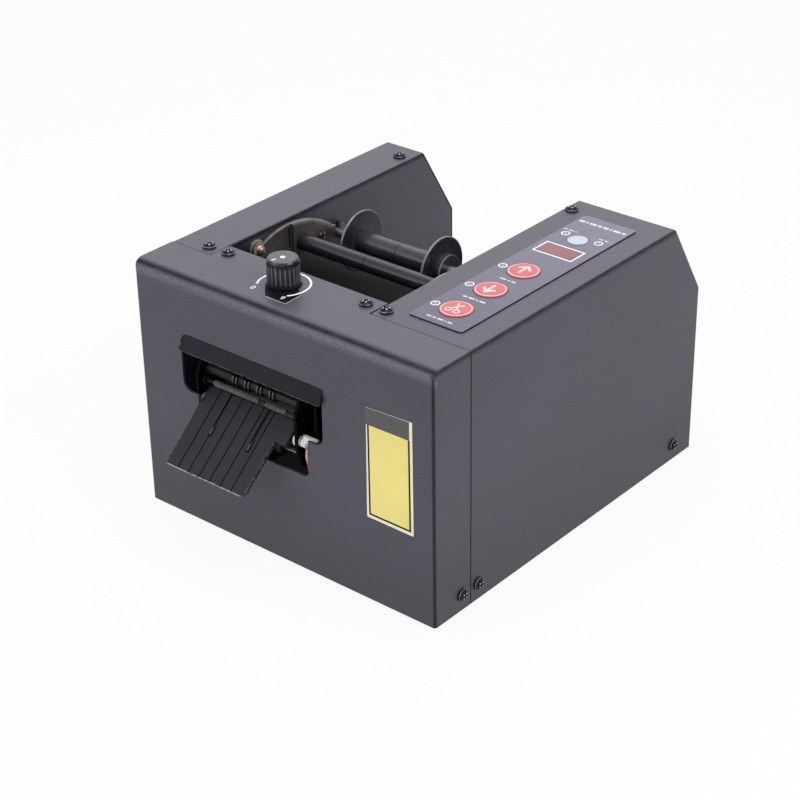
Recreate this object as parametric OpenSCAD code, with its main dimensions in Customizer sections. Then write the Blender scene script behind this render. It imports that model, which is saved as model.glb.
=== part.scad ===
/* [Body] */
// Width of the housing across the side covers
body_w = 220; // [210:1:240]
// Depth of the housing, front panel to rear wall
body_d = 252; // [240:1:280]
// Height of the housing above the lower edge of its covers
body_h = 159; // [155:1:180]
// Thickness of the folded sheet
sheet = 1.5; // [1:0.1:2]
// Width of the left fin
left_fin_w = 30.4; // [24:0.2:34]
// Width of the control box on the right
box_w = 69.6; // [62:0.2:74]
// Depth of the front cover's side walls
front_d = 31; // [28:0.5:33]
// Depth of the shelf between the fins
tongue_d = 46.9; // [46:0.1:52]
// Length of the flat top before the rear chamfer
top_run = 223; // [215:1:230]
// Height that the rear chamfer takes off
chamfer_drop = 48; // [30:1:60]
// Outer radius of the fold between front panel and shelf
bend_r = 6.5; // [3:0.5:9]
// Outer radius of the front panel's upright folds
edge_r = 2; // [1.6:0.2:4]
// Radius along the upper edges of the fins
fold_r = 1.2; // [0.4:0.1:1.4]
// Open joint between neighbouring covers
seam_gap = 0.4; // [0.2:0.1:0.8]

/* [Base] */
// Thickness of the base tray
base_t = 2; // [1.5:0.1:2.5]
// Tray's underside above the covers' lower edge
base_lift = 0.5; // [0.2:0.1:1]
// Height of the tray's side flanges
flange_h = 18; // [16:0.5:26]
// Gap between the tray and the covers round it
wall_fit = 0.3; // [0.1:0.05:0.5]
// Diameter of a rubber foot
foot_d = 16; // [12:0.5:20]
// Height of a rubber foot under the tray
foot_h = 2.5; // [2:0.1:5]
// Distance of the feet from the sides
foot_in_x = 20; // [16:1:26]
// Distance of the feet from front and rear
foot_in_y = 26; // [20:1:32]

/* [Cover screws] */
// Diameter of the screw shanks
screw_d = 4; // [3:0.1:4.4]
// Diameter of the pan heads
screw_head_d = 8; // [7:0.1:9]
// Height of the pan heads
screw_head_h = 2.6; // [2:0.1:3]
// Length of the shanks
screw_l = 7; // [6:0.5:9]
// Height of the side screws above the covers' lower edge
side_screw_z = 10.2; // [9:0.1:12]
// Side screw of the front cover, from the front
side_screw_front = 23.6; // [18:0.1:25]
// First side screw of a side cover, from the front
side_screw_mid = 37.9; // [37:0.1:42]
// Last side screw of a side cover, from the rear
side_screw_rear = 19.2; // [16:0.1:26]
// Top screws beside the shelf, from the front
top_screw_y = 38.7; // [37.5:0.1:40]
// Rear top screws from the end of the top
top_screw_rear = 14; // [10:0.5:30]
// Top screws of the left fin, from its inner edge
screw_in_left = 8; // [7:0.1:10]
// Top screws of the control box, from its inner edge
screw_in_right = 5.5; // [5.2:0.1:9]
// Left shelf screw, from the shelf's edge
tongue_in_left = 6.7; // [5.5:0.1:9]
// Right shelf screw, from the shelf's edge
tongue_in_right = 8.6; // [5.5:0.1:9]

/* [Exit slot] */
// Height of the tape line above the covers' lower edge
tape_z = 95; // [92:0.5:97]
// Middle of the feed unit, from the left side
feed_cx = 81; // [80:0.5:82]
// Middle of the slot, from the middle of the feed unit
slot_shift = 6.8; // [6:0.1:8]
// Width of the slot's upper part
slot_w = 107.5; // [104:0.5:110]
// Height of the slot above the tape line
slot_rise = 28.3; // [27:0.1:32]
// Step between the slot's two parts, under the tape line
slot_step = 8.7; // [7:0.1:9]
// Width of the slot's lower part
mouth_w = 84.2; // [83.6:0.1:86]
// Depth of the slot's lower part under the tape line
mouth_drop = 32.5; // [31:0.5:34]
// Corner radius of the upper part
slot_r = 6; // [2:0.5:8]
// Corner radius of the lower part
mouth_r = 4; // [2:0.5:8]

/* [Visor] */
// Height of the visor's slanting front
visor_drop = 10.2; // [9:0.2:14]
// Distance that its lower lip stands out of the panel
visor_proud = 3.2; // [2:0.1:5]
// Thickness of the visor's wall
visor_t = 1.5; // [1.2:0.1:2]
// Height of the flange behind the panel
visor_flange = 7; // [5:0.5:10]
// Clearance between visor and panel
visor_fit = 0.2; // [0.1:0.05:0.4]

/* [Exit ramp] */
// Width of the ramp
ramp_w = 61; // [56:0.5:62]
// Gap between the ramp and the left edge of the slot
ramp_side = 0.6; // [0.4:0.1:1]
// Thickness of the ramp plate
ramp_t = 2.5; // [2:0.1:3]
// Slope of the ramp
ramp_angle = 40.6; // [36:0.2:44]
// Length of the ramp in front of its hinge
ramp_down = 43.7; // [36:0.1:50]
// Length of the ramp behind its hinge
ramp_up = 7.8; // [6.5:0.1:8.4]
// Height of the ramp's face above its hinge
ramp_lift = 5.2; // [4.8:0.1:5.4]
// Corner radius of the ramp's front
ramp_corner = 4.5; // [2:0.5:8]
// Distance between the grooves of the ramp
groove_pitch = 8.3; // [7:0.1:9]
// Width of a groove
groove_w = 0.9; // [0.6:0.1:1.4]
// Depth of a groove
groove_depth = 0.6; // [0.3:0.1:1]
// Extra width of the ramp at its upper right
wing_w = 8; // [5:0.5:8.6]
// Hinge of the ramp, from the front
ramp_hinge_y = 6.5; // [6.4:0.1:7]
// Hinge of the ramp under the tape line
ramp_hinge_drop = 14.8; // [14.4:0.1:16]
// Diameter of the hinge shaft
ramp_shaft_d = 4; // [3:0.1:4.2]

/* [Feed unit] */
// Distance between the side frames
frame_gap = 74; // [73.6:0.2:75]
// Thickness of the side frames
frame_t = 2; // [1.6:0.1:2.4]
// Rear edge of the frames, from the front
frame_back = 46.2; // [45:0.1:46.5]
// Space for the gears beside the right frame
drive_gap = 8; // [7.8:0.1:9]
// Radial clearance of turning shafts
run_fit = 0.05; // [0.02:0.01:0.09]
// Radial clearance of fixed fits
seat_fit = 0.02; // [0.01:0.01:0.05]
// Exit roller, from the front
exit_y = 8; // [7.8:0.1:9]
// Outer diameter of the coil on the exit roller
coil_d = 4; // [3.6:0.1:4.4]
// Diameter of the coil's wire
wire_d = 0.9; // [0.7:0.05:0.95]
// Distance between neighbouring turns of the coil
coil_pitch = 1.4; // [1.36:0.02:1.8]
// Length of the coil over both of its parts
coil_l = 58; // [50:0.5:64]
// Length of the coil's left part
coil_left_l = 38; // [30:0.5:42]
// Ringed roller, from the front
ring_roller_y = 11.5; // [11.2:0.1:11.8]
// Ringed roller above the tape line
ring_roller_rise = 4.4; // [4.2:0.1:5]
// Diameter of its rubber rings
ring_d = 9; // [8:0.1:9]
// Distance between the pairs of rings
ring_pitch = 9.5; // [8:0.1:11]
// Feed roller, from the front
feed_y = 36; // [35.6:0.1:36.4]
// Diameter of the feed roller
feed_d = 16; // [14:0.2:16.4]
// Diameter of the feed roller's shaft
feed_shaft_d = 6; // [5:0.2:7]
// Diameter of the pinch roller
pinch_d = 12; // [10:0.2:13]
// Gap between feed and pinch roller
nip = 0.3; // [0.2:0.05:0.6]
// Diameter of the roller journals
journal_d = 4; // [3:0.2:4.4]

/* [Feed drive] */
// Tooth module of the gears
tooth_m = 1; // [0.9:0.02:1.04]
// Teeth of the feed gear
feed_teeth = 24; // [22:2:26]
// Teeth of the motor pinion
pinion_teeth = 12; // [11:1:13]
// Width of the gears
gear_w = 5; // [3:0.5:5.5]
// Thinning of each tooth for play in the mesh
backlash = 0.16; // [0.1:0.02:0.3]
// Motor pinion in front of the feed roller
pinion_ahead = 5.5; // [5.2:0.1:6.5]
// Diameter of the feed motor's gearbox
feed_motor_d = 29.5; // [26:0.5:29.5]
// Length of the feed motor with its gearbox
feed_motor_l = 54; // [44:1:62]

/* [Cutter] */
// Shear plane of the blades, from the front
shear_y = 18.9; // [18.6:0.1:19.2]
// Gap between the blades
shear_gap = 0.3; // [0.1:0.05:0.4]
// Thickness of the blades
blade_t = 1.5; // [1.2:0.1:1.6]
// Upper blade's edge at rest, over the tape line
blade_lift = 3; // [2:0.1:4]
// Slant of the upper blade's edge
blade_slant = 3; // [1:0.1:4]
// Height of the blade carrier over the tape line
carrier_rise = 11; // [10.9:0.1:12]
// Height of the blade carrier's bar
carrier_h = 10; // [8:0.5:10]
// Depth of the blade carrier's bar
carrier_d = 8.3; // [7.6:0.1:8.8]
// Diameter of the guide posts
post_d = 4; // [3:0.1:4.4]
// Distance of the guide posts from the frames
post_in = 5; // [4.5:0.1:7]
// Throw of the crank pin
crank_r = 6; // [5.4:0.1:6]
// Diameter of the crank pin
crank_pin_d = 4; // [3:0.1:4.4]
// Swing of the crank during a cut
crank_swing = 120; // [100:1:120]
// Diameter of the cutter motor
cutter_motor_d = 25; // [20:0.5:26]
// Length of the cutter motor with its gearbox
cutter_motor_l = 48; // [38:1:58]

/* [Reel and guide roller] */
// Reel axle, from the front
reel_y = 136; // [130:0.5:142]
// Reel axle under the top of the housing
reel_drop = 22.5; // [21:0.5:28]
// Room from the left arm to the reel's left flange
reel_left = 19; // [9:0.2:24]
// Diameter of the reel axle
axle_d = 6; // [5:0.2:8]
// Diameter of the reel's flanges
flange_d = 38.6; // [30:0.2:40]
// Thickness of the flanges
flange_t = 2; // [1.4:0.1:3]
// Room from the reel's right flange to the right arm
reel_right = 31.4; // [12:0.2:32]
// Diameter of the reel's core
core_d = 13.6; // [11:0.2:18]
// Diameter of the hub outside each flange
hub_d = 19; // [12:0.5:22]
// Length of the hub outside each flange
hub_l = 5; // [3:0.5:8]
// Joint between the two halves of a roller or reel
half_gap = 0.4; // [0.2:0.1:0.8]
// Guide roller, from the front
guide_y = 103; // [98:0.5:106]
// Guide roller under the top of the housing
guide_drop = 16; // [15:0.5:20]
// Diameter of the guide roller
guide_d = 10; // [8:0.2:12]
// Diameter of the guide roller's shaft
guide_shaft_d = 6; // [4:0.2:6.4]

/* [Reel arms] */
// Thickness of an arm's rear
arm_t = 4; // [3.6:0.2:7]
// Thickness of an arm's web
web_t = 2.4; // [2.2:0.1:3.4]
// Gap between an arm and the wall behind it
arm_gap = 0.8; // [0.6:0.1:0.9]
// Radius of the arm's upper edge
arm_r = 58.4; // [57:0.2:62]
// Middle of the upper edge's arc, from the front
arm_y = 94.7; // [92:0.2:97]
// Middle of the upper edge's arc under the top
arm_drop = 60.7; // [60:0.2:63]
// Front stud of the arm, from the front
stud_y = 69; // [66:0.5:72]
// Front stud under the top of the housing
stud_drop = 10; // [9:0.5:12]
// Diameter of the bronze stud
stud_d = 6; // [5:0.2:6.4]
// Radius of the boss round the stud
stud_boss = 5; // [4.6:0.1:6]
// Fixing bolt of the arm, from the front
bolt_y = 119.7; // [117:0.1:121]
// Fixing bolt under the top of the housing
bolt_drop = 18.5; // [17.5:0.5:20]
// Width of the arm's rim round its pockets
rim_w = 2.4; // [1.6:0.1:3]
// Depth of the pockets
pocket_depth = 1.2; // [0.6:0.1:1.6]
// Height of the arm's lower edge under the axle
arm_under = 7; // [6:0.2:9]

/* [Control panel] */
// Width of the overlay
overlay_w = 37; // [34:0.5:42]
// Length of the overlay
overlay_l = 164; // [160:0.5:170]
// Thickness of the overlay
overlay_t = 0.6; // [0.4:0.1:1]
// Overlay from the control box's inner edge
overlay_in = 16.6; // [14:0.2:18]
// Front edge of the overlay, from the front
overlay_y = 43.2; // [42:0.1:46]
// Corner radius of the overlay
overlay_r = 2.5; // [1:0.5:4]
// Diameter of the round keys
key_d = 19; // [16:0.2:20]
// First key, from the overlay's front edge
key_first = 20; // [18:0.1:24]
// Distance between the keys
key_pitch = 30.1; // [28:0.1:32]
// Keys from the overlay's left edge
key_in = 17.6; // [16.8:0.1:18.4]
// Diameter of the power key
power_d = 12; // [10:0.2:13]
// Power key, from the overlay's front edge
power_y = 131.7; // [131:0.1:138]
// Travel of the keys
key_travel = 0.6; // [0.3:0.1:0.8]
// Gap round a key
key_gap = 0.3; // [0.2:0.05:0.5]
// Height of the keys above the overlay
key_proud = 0.5; // [0.3:0.1:1.2]
// Diameter of the indicator lamps
led_d = 3; // [2:0.1:3.4]
// Lamps beside the keys, from the overlay's left edge
led_in = 3.8; // [3.4:0.1:4.4]
// Upper lamps from the power key
led_side = 11.6; // [11:0.1:13]
// Display window across the overlay
window_w = 25; // [24:0.5:28.4]
// Display window along the overlay
window_l = 12.5; // [12:0.5:15]
// Display window's middle, from the overlay's front edge
window_y = 113.5; // [112:0.5:116]
// Gap round the display window
window_gap = 0.1; // [0.05:0.05:0.3]
// Depth of the circuit board under the top
board_drop = 12; // [10:0.5:16]
// Thickness of the circuit board
board_t = 1.6; // [1:0.1:2]

/* [Speed knob] */
// Knob, from the left side
knob_x = 89.3; // [86:0.1:94]
// Knob, from the front
knob_y = 29.4; // [26:0.1:31]
// Diameter of the knob's skirt
skirt_d = 19.6; // [19.4:0.2:22]
// Diameter of the knob's top
knob_top_d = 18; // [15:0.2:18]
// Height of the knob over the shelf
knob_h = 16.6; // [14:0.2:20]
// Grooves round the knob
flutes = 22; // [16:1:30]
// Diameter of the knob's shaft
pot_shaft_d = 6; // [5:0.2:6.4]
// Diameter of the potentiometer's bushing
pot_bush_d = 7.2; // [7:0.1:8]
// Diameter of the potentiometer's body
pot_d = 17; // [14:0.5:20]
// Gap under the knob
knob_gap = 0.7; // [0.3:0.1:0.9]

/* [Rear fittings] */
// Mains inlet, from the control box's inner edge
inlet_in = 34; // [30:0.5:38]
// Height of the mains inlet
inlet_z = 40; // [30:1:45]
// Width of the inlet's flange
inlet_w = 48; // [44:0.5:52]
// Height of the inlet's flange
inlet_h = 24; // [22:0.5:28]
// Thickness of the inlet's flange
inlet_t = 2.5; // [1.5:0.1:4]
// Height of the power switch
switch_z = 82; // [75:1:90]
// Width of the switch's bezel
switch_w = 21; // [18:0.5:26]
// Height of the switch's bezel
switch_h = 15; // [13:0.5:20]
// Thickness of the switch's bezel
switch_t = 2; // [1.5:0.1:3]
// Swing of the rocker between its two ends
rocker_swing = 20; // [12:1:24]

/* [Hidden] */
$fn = 64;

// A cut reaches this far past the faces that it opens
over = 1;
// Room left between pieces that pass each other
clear = 0.3;

// Places on the housing
box_x = body_w - box_w;
bay_w = box_x - left_fin_w;
bay_cx = left_fin_w + bay_w / 2;
base_top = base_lift + base_t;
tongue_x0 = left_fin_w + seam_gap;
tongue_x1 = box_x - seam_gap;
cover_y = front_d + seam_gap;
inner_z = body_h - sheet;
chamfer_run = body_d - top_run;
top_screw_back = top_run - top_screw_rear;
side_screw_back = body_d - side_screw_rear;
left_screw_x = left_fin_w - screw_in_left;
right_screw_x = box_x + screw_in_right;
screw_hole_r = screw_d / 2 + 0.3;
bracket_t = 3;
bracket_d = 12;
post_w = 12;

// Places in the feed unit
slot_cx = feed_cx + slot_shift;
slot_top = tape_z + slot_rise;
slot_mid = tape_z - slot_step;
mouth_z = tape_z - mouth_drop;
mouth_x0 = slot_cx - mouth_w / 2;
frame_x0 = feed_cx - frame_gap / 2;
frame_x1 = feed_cx + frame_gap / 2;
drive_x = frame_x1 + frame_t;
plate_x = drive_x + drive_gap;
frame_front = sheet + 0.7;
frame_top = tape_z + 29;
bridge_h = 4;
plate_front = ramp_hinge_y + 1.5;
plate_top = tape_z + 33;
foot_l = 9;
exit_z = tape_z - coil_d / 2;
ring_z = tape_z + ring_roller_rise;
feed_z = tape_z - feed_d / 2;
pinch_z = tape_z + nip + pinch_d / 2;
mesh_gap = tooth_m * (feed_teeth + pinion_teeth) / 2 + 0.1;
pinion_y = feed_y - pinion_ahead;
pinion_z = feed_z - sqrt(pow(mesh_gap, 2) - pow(pinion_ahead, 2));
mesh_angle = atan2(pinion_z - feed_z, pinion_y - feed_y);
gear_x = drive_x + (drive_gap - gear_w) / 2;
motor_shaft_d = 5;
rod_d = 6;
rod_end_d = 4;
nut_t = 2.4;
nut_d = 7;
stop_y = ramp_hinge_y + 5.5;
stop_z = tape_z - 27;
rods = [[stop_y, stop_z], [frame_back - 5, tape_z - 47], [frame_back - 5, tape_z + 20]];

// Places of the ramp
ramp_x0 = mouth_x0 + ramp_side;
ramp_hinge_z = tape_z - ramp_hinge_drop;
ramp_boss_r = 3.6;
ramp_front_y = ramp_hinge_y - ramp_down * cos(ramp_angle) - ramp_lift * sin(ramp_angle);
bush_r = ramp_shaft_d / 2 + 1.4;
bush_flange_r = bush_r + 0.9;
bush_flange_t = 1.6;
flag_x = drive_x + bush_flange_t;
flag_h = 6;
flag_sweep = flag_h + 1.2;

// Places of the cutter
blade_front = shear_y - shear_gap / 2;
blade_back = shear_y + shear_gap / 2;
bed_y = blade_back + blade_t;
bed_d = 5.6;
bed_z0 = tape_z - 15;
bed_z1 = tape_z - 1;
carrier_z = tape_z + carrier_rise;
post_y = bed_y + bed_d / 2;
post_xs = [frame_x0 + post_in, frame_x1 - post_in];
crank_up = crank_swing / 2;
stroke = 2 * crank_r * sin(crank_up);
crank_y = post_y;
yoke_z = carrier_z + carrier_h + 2;
crank_z = yoke_z - crank_r * sin(crank_up);
yoke_play = 0.6;
yoke_t = 3.2;
yoke_x = drive_x + 1;
yoke_wall = 2.6;
arm_bar_d = 5;
window_play = 1;
crank_t = 2.4;
crank_x = plate_x - crank_t - 0.6;
crank_disc_r = crank_r + crank_pin_d / 2 + 1;

// Places of the reel and its arms
reel_z = body_h - reel_drop;
guide_z = body_h - guide_drop;
arm_cz = body_h - arm_drop;
stud_z = body_h - stud_drop;
bolt_z = body_h - bolt_drop;
arm_x0 = left_fin_w + arm_gap;
arm_x1 = box_x - arm_gap - arm_t;
reel_w = arm_x1 - reel_right - arm_x0 - arm_t - reel_left;
reel_cx = arm_x0 + arm_t + reel_left + reel_w / 2;
tail_r = arm_under;
hub_r = guide_shaft_d / 2 + 4;
bolt_r = 4.2;
bolt_d = 3;

// Places of the control panel
overlay_x = box_x + overlay_in;
key_x = overlay_x + key_in;
key_ys = [for (i = [0:2]) overlay_y + key_first + i * key_pitch];
power_cy = overlay_y + power_y;
led_x = overlay_x + led_in;
led_y = power_cy + 4.3;
led_places = concat([for (y = key_ys) [led_x, y - 1]],
  [[key_x - led_side, led_y], [key_x + led_side, led_y]]);
window_cy = overlay_y + window_y;
board_z = inner_z - board_drop;
key_flange_t = 1;
tact_h = 4;

// Places of the knob
pot_h = 9;
bush_rise = 5;
pot_nut_t = 2.4;

// Places of the rear fittings
inlet_x = box_x + inlet_in;
inlet_hole_w = inlet_w - 20;
inlet_hole_h = inlet_h - 3;
inlet_deep = 22;
switch_body_w = switch_w - 2.4;
switch_body_h = switch_h - 2.4;
switch_deep = 18;
rocker_w = switch_w - 5;
rocker_h = switch_h - 4.4;
rocker_crown = 3.4;
rocker_depth = 4;
rocker_axis_y = body_d + switch_t - rocker_depth;
rocker_rest = rocker_swing / 2;
rocker_outline = [
  [-rocker_w / 2, 0], [-rocker_w / 2, rocker_crown], [0, rocker_crown + 0.8],
  [rocker_w / 2, rocker_crown], [rocker_w / 2, 0]
];
rocker_reach = max([for (p = rocker_outline) p[1] * cos(rocker_rest) + abs(p[0]) * sin(rocker_rest)]);
rear_y = max(body_d + inlet_t, body_d + switch_t, rocker_axis_y + rocker_reach);

// From the housing's corner to the middle of its foot
module seat() {
  translate([-body_w / 2, -(ramp_front_y + rear_y) / 2, foot_h - base_lift])
    children();
}

// Extrudes a side outline across the housing
module across(x0, l) {
  translate([x0, 0, 0])
    rotate([90, 0, 90])
      linear_extrude(l)
        children();
}

// Extrudes a front outline towards the rear
module deep(y0, l) {
  translate([0, y0 + l, 0])
    rotate([90, 0, 0])
      linear_extrude(l)
        children();
}

// A round bar across the housing
module bar(x0, l, y, z, d) {
  translate([x0, y, z])
    rotate([0, 90, 0])
      cylinder(d = d, h = l);
}

// A rectangle with round corners
module round_box(w, h, r) {
  translate([r, 0])
    square([w - 2 * r, h]);
  translate([0, r])
    square([w, h - 2 * r]);
  for (x = [r, w - r], y = [r, h - r])
    translate([x, y])
      circle(r);
}

// Involute of a base circle at roll angle a
function involute(rb, a) = rb * [cos(a) + a * PI / 180 * sin(a), sin(a) - a * PI / 180 * cos(a)];
function turned(p, a) = [p[0] * cos(a) - p[1] * sin(a), p[0] * sin(a) + p[1] * cos(a)];
function mirrored(p) = [p[0], -p[1]];

// Outline of a spur gear with one tooth on the first axis
module gear_outline(teeth) {
  pitch_r = tooth_m * teeth / 2;
  base_r = pitch_r * cos(20);
  root_r = pitch_r - 1.25 * tooth_m;
  tip_r = pitch_r + tooth_m;
  steps = 5;
  tip_roll = sqrt(pow(tip_r / base_r, 2) - 1) * 180 / PI;
  pitch_roll = tan(20) * 180 / PI;
  flank_at_pitch = pitch_roll - 20;
  half_tooth = 90 / teeth - backlash / 2 / pitch_r * 180 / PI;
  lean = half_tooth + flank_at_pitch;
  flank = [for (i = [0:steps]) turned(mirrored(involute(base_r, tip_roll * i / steps)), lean)];
  foot = [turned([root_r, 0], min(lean, 172 / teeth))];
  right = concat(foot, flank);
  tooth = concat([for (p = right) mirrored(p)],
    [for (i = [len(right) - 1:-1:0]) right[i]]);
  polygon([for (k = [0:teeth - 1], p = tooth) turned(p, 360 * k / teeth)]);
}

// Points of a tube that follows a list of centres
function unit(v) = v / norm(v);
function heading(c, i) = unit(c[min(i + 1, len(c) - 1)] - c[max(i - 1, 0)]);
function tube_ring(c, t, side, r, sides) = [
  for (k = [0:sides - 1])
    c + r * (cos(360 * k / sides) * unit(side - (side * t) * t)
      + sin(360 * k / sides) * unit(cross(t, side)))
];

module tube(centres, sides_to, r, sides) {
  n = len(centres);
  points = [
    for (i = [0:n - 1])
      each tube_ring(centres[i], heading(centres, i), sides_to[i], r, sides)
  ];
  walls = [
    for (i = [0:n - 2], k = [0:sides - 1])
      let (a = i * sides + k, b = i * sides + (k + 1) % sides)
        each [[a, a + sides, b], [b, a + sides, b + sides]]
  ];
  start = [for (k = [1:sides - 2]) [0, k, k + 1]];
  last = (n - 1) * sides;
  end = [for (k = [1:sides - 2]) [last, last + k + 1, last + k]];
  polyhedron(points, concat(walls, start, end));
}

// A pan head screw, seated at the origin
module pan_screw(d, head_d, head_h, l) {
  difference() {
    rotate_extrude()
      intersection() {
        translate([0, head_h - head_d * 0.8])
          circle(head_d * 0.8);
        square([head_d / 2, head_h]);
      }
    for (a = [0, 90])
      rotate(a)
        translate([-head_d * 0.28, -head_d * 0.07, head_h * 0.4])
          cube([head_d * 0.56, head_d * 0.14, head_h]);
  }
  translate([0, 0, -l])
    cylinder(d = d, h = l);
}

// Runs its children at every top screw
module at_top_screws() {
  for (p = [
    [left_screw_x, top_screw_y], [right_screw_x, top_screw_y],
    [tongue_x0 + tongue_in_left, top_screw_y], [tongue_x1 - tongue_in_right, top_screw_y],
    [left_screw_x, top_screw_back], [right_screw_x, top_screw_back]
  ])
    translate([p[0], p[1], body_h])
      children();
}

// Runs its children at every side screw, heads outwards
module at_side_screws() {
  for (y = [side_screw_front, side_screw_mid, side_screw_back]) {
    translate([0, y, side_screw_z])
      rotate([0, -90, 0])
        children();
    translate([body_w, y, side_screw_z])
      rotate([0, 90, 0])
        children();
  }
}

// Holes for the screws that hold the covers
module cover_holes() {
  at_top_screws()
    translate([0, 0, -sheet - over])
      cylinder(r = screw_hole_r, h = sheet + 2 * over);
  at_side_screws()
    translate([0, 0, -sheet - over])
      cylinder(r = screw_hole_r, h = sheet + 2 * over);
}

module at_feet() {
  for (x = [foot_in_x, body_w - foot_in_x], y = [foot_in_y, body_d - foot_in_y])
    translate([x, y, base_lift])
      children();
}

module base_plate() seat() color("#26262b") {
  edge = sheet + wall_fit;
  rear_w = bay_w - 2 * edge;
  difference() {
    union() {
      translate([edge, edge, base_lift])
        cube([body_w - 2 * edge, body_d - 2 * edge, base_t]);
      for (x = [edge, body_w - edge - base_t])
        translate([x, side_screw_front - 2 * screw_d, base_lift])
          cube([base_t, body_d - side_screw_front - edge, flange_h]);
      translate([bay_cx - rear_w / 2, body_d - edge - base_t, base_lift])
        cube([rear_w, base_t, flange_h]);
    }
    at_side_screws()
      translate([0, 0, -screw_l - over])
        cylinder(d = screw_d + 2 * run_fit, h = screw_l);
    at_feet()
      translate([0, 0, -over])
        cylinder(d = foot_d * 0.3 + 2 * run_fit, h = base_t + 2 * over);
    for (f = frame_feet)
      at_foot_screws(f)
        translate([0, 0, -base_t - over])
          cylinder(d = foot_screw_d + 2 * run_fit, h = base_t + 2 * over);
    // Cooling slots under the control box
    for (i = [0:5])
      translate([box_x + 12 + i * 8, body_d * 0.6, base_lift - over])
        linear_extrude(base_t + 2 * over)
          round_box(3, 26, 1.4);
  }
}

module rubber_feet() seat() color("#141416") {
  at_feet() {
    translate([0, 0, -foot_h])
      rotate_extrude()
        polygon([
          [0, 0], [foot_d * 0.42, 0], [foot_d * 0.5, foot_h * 0.3],
          [foot_d * 0.5, foot_h], [0, foot_h]
        ]);
    cylinder(d = foot_d * 0.3, h = base_t);
    translate([0, 0, base_t])
      cylinder(d1 = foot_d * 0.42, d2 = foot_d * 0.26, h = 1.6);
  }
}

// Side outline of the front cover, with its large fold
module front_side(y0, h, r, d) {
  difference() {
    translate([y0, -over])
      square([d - y0, h + over]);
    translate([y0, h - r])
      square([r, r]);
  }
  intersection() {
    translate([y0 + r, h - r])
      circle(r);
    translate([y0, h - r])
      square([r, r]);
  }
}

// Plan of the front cover, with its upright folds
module front_plan(x0, y0, x1, r) {
  translate([x0, y0 + r])
    square([x1 - x0, front_d + over]);
  translate([x0 + r, y0])
    square([x1 - x0 - 2 * r, r + over]);
  for (x = [x0 + r, x1 - r])
    translate([x, y0 + r])
      circle(r);
}

module slot_outline() {
  translate([slot_cx - slot_w / 2, slot_mid])
    round_box(slot_w, slot_top - slot_mid, slot_r);
  translate([mouth_x0, mouth_z])
    round_box(mouth_w, slot_mid - mouth_z + 2 * slot_r, mouth_r);
}

module front_cover() seat() color("#3b3a42") {
  difference() {
    union() {
      intersection() {
        across(0, body_w)
          front_side(0, body_h, bend_r, front_d);
        linear_extrude(body_h)
          front_plan(0, 0, body_w, edge_r);
      }
      translate([tongue_x0, front_d - over, inner_z])
        cube([tongue_x1 - tongue_x0, tongue_d - front_d + over, sheet]);
    }
    intersection() {
      across(sheet, body_w - 2 * sheet)
        front_side(sheet, inner_z, bend_r - sheet, front_d + over);
      translate([0, 0, -over])
        linear_extrude(body_h)
          front_plan(sheet, sheet, body_w - sheet, edge_r - sheet + 0.01);
    }
    deep(-over, sheet + 2 * over)
      slot_outline();
    cover_holes();
    translate([knob_x, knob_y, inner_z - over])
      cylinder(d = pot_bush_d + 2 * seat_fit, h = sheet + 2 * over);
  }
}

// Side outline of a fin, drawn in by t
module fin_outline(y0, z0, t) {
  slope = norm([chamfer_run, chamfer_drop]);
  top_back = top_run - t * (slope - chamfer_run) / chamfer_drop;
  rear_top = body_h - chamfer_drop - t * (slope - chamfer_drop) / chamfer_run;
  polygon([
    [y0, z0], [y0, body_h - t], [top_back, body_h - t],
    [body_d - t, rear_top], [body_d - t, z0]
  ]);
}

// Folded shell of a fin between two sides
module fin_shell(x0, w) {
  difference() {
    intersection() {
      across(x0, w)
        fin_outline(cover_y, 0, 0);
      translate([x0, 0, 0])
        deep(cover_y - over, body_d) {
          translate([0, -over])
            square([w, body_h + over - fold_r]);
          translate([fold_r, 0])
            square([w - 2 * fold_r, body_h]);
          for (x = [fold_r, w - fold_r])
            translate([x, body_h - fold_r])
              circle(fold_r);
        }
    }
    across(x0 + sheet, w - 2 * sheet)
      fin_outline(cover_y - over, -over, sheet);
    cover_holes();
  }
}

// Holes of the arm's stud and bolt through a bay wall
module wall_holes(x) {
  bar(x - over, sheet + 2 * over, stud_y, stud_z, stud_d + 2 * seat_fit);
  bar(x - over, sheet + 2 * over, bolt_y, bolt_z, bolt_d + 2 * run_fit);
}

// Opening of a bay wall at its front and at the tray
module wall_front(x) {
  translate([x - over, cover_y - over, -over])
    cube([sheet + 2 * over, body_d - sheet - wall_fit - cover_y + over, base_top + wall_fit + over]);
  translate([x - over, cover_y - over, -over])
    cube([sheet + 2 * over, tongue_d - cover_y + over, inner_z + over]);
}

module left_cover() seat() color("#3b3a42") {
  difference() {
    fin_shell(0, left_fin_w);
    wall_holes(left_fin_w - sheet);
    wall_front(left_fin_w - sheet);
  }
}

module right_cover() seat() color("#3b3a42") {
  difference() {
    fin_shell(box_x, box_w);
    wall_holes(box_x);
    wall_front(box_x);
    panel_holes(inner_z - over, sheet + 2 * over);
    deep(body_d - sheet - over, sheet + 2 * over) {
      translate([inlet_x - inlet_hole_w / 2 - run_fit, inlet_z - inlet_hole_h / 2 - run_fit])
        square([inlet_hole_w + 2 * run_fit, inlet_hole_h + 2 * run_fit]);
      translate([inlet_x - switch_body_w / 2 - run_fit, switch_z - switch_body_h / 2 - run_fit])
        square([switch_body_w + 2 * run_fit, switch_body_h + 2 * run_fit]);
    }
  }
}

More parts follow.
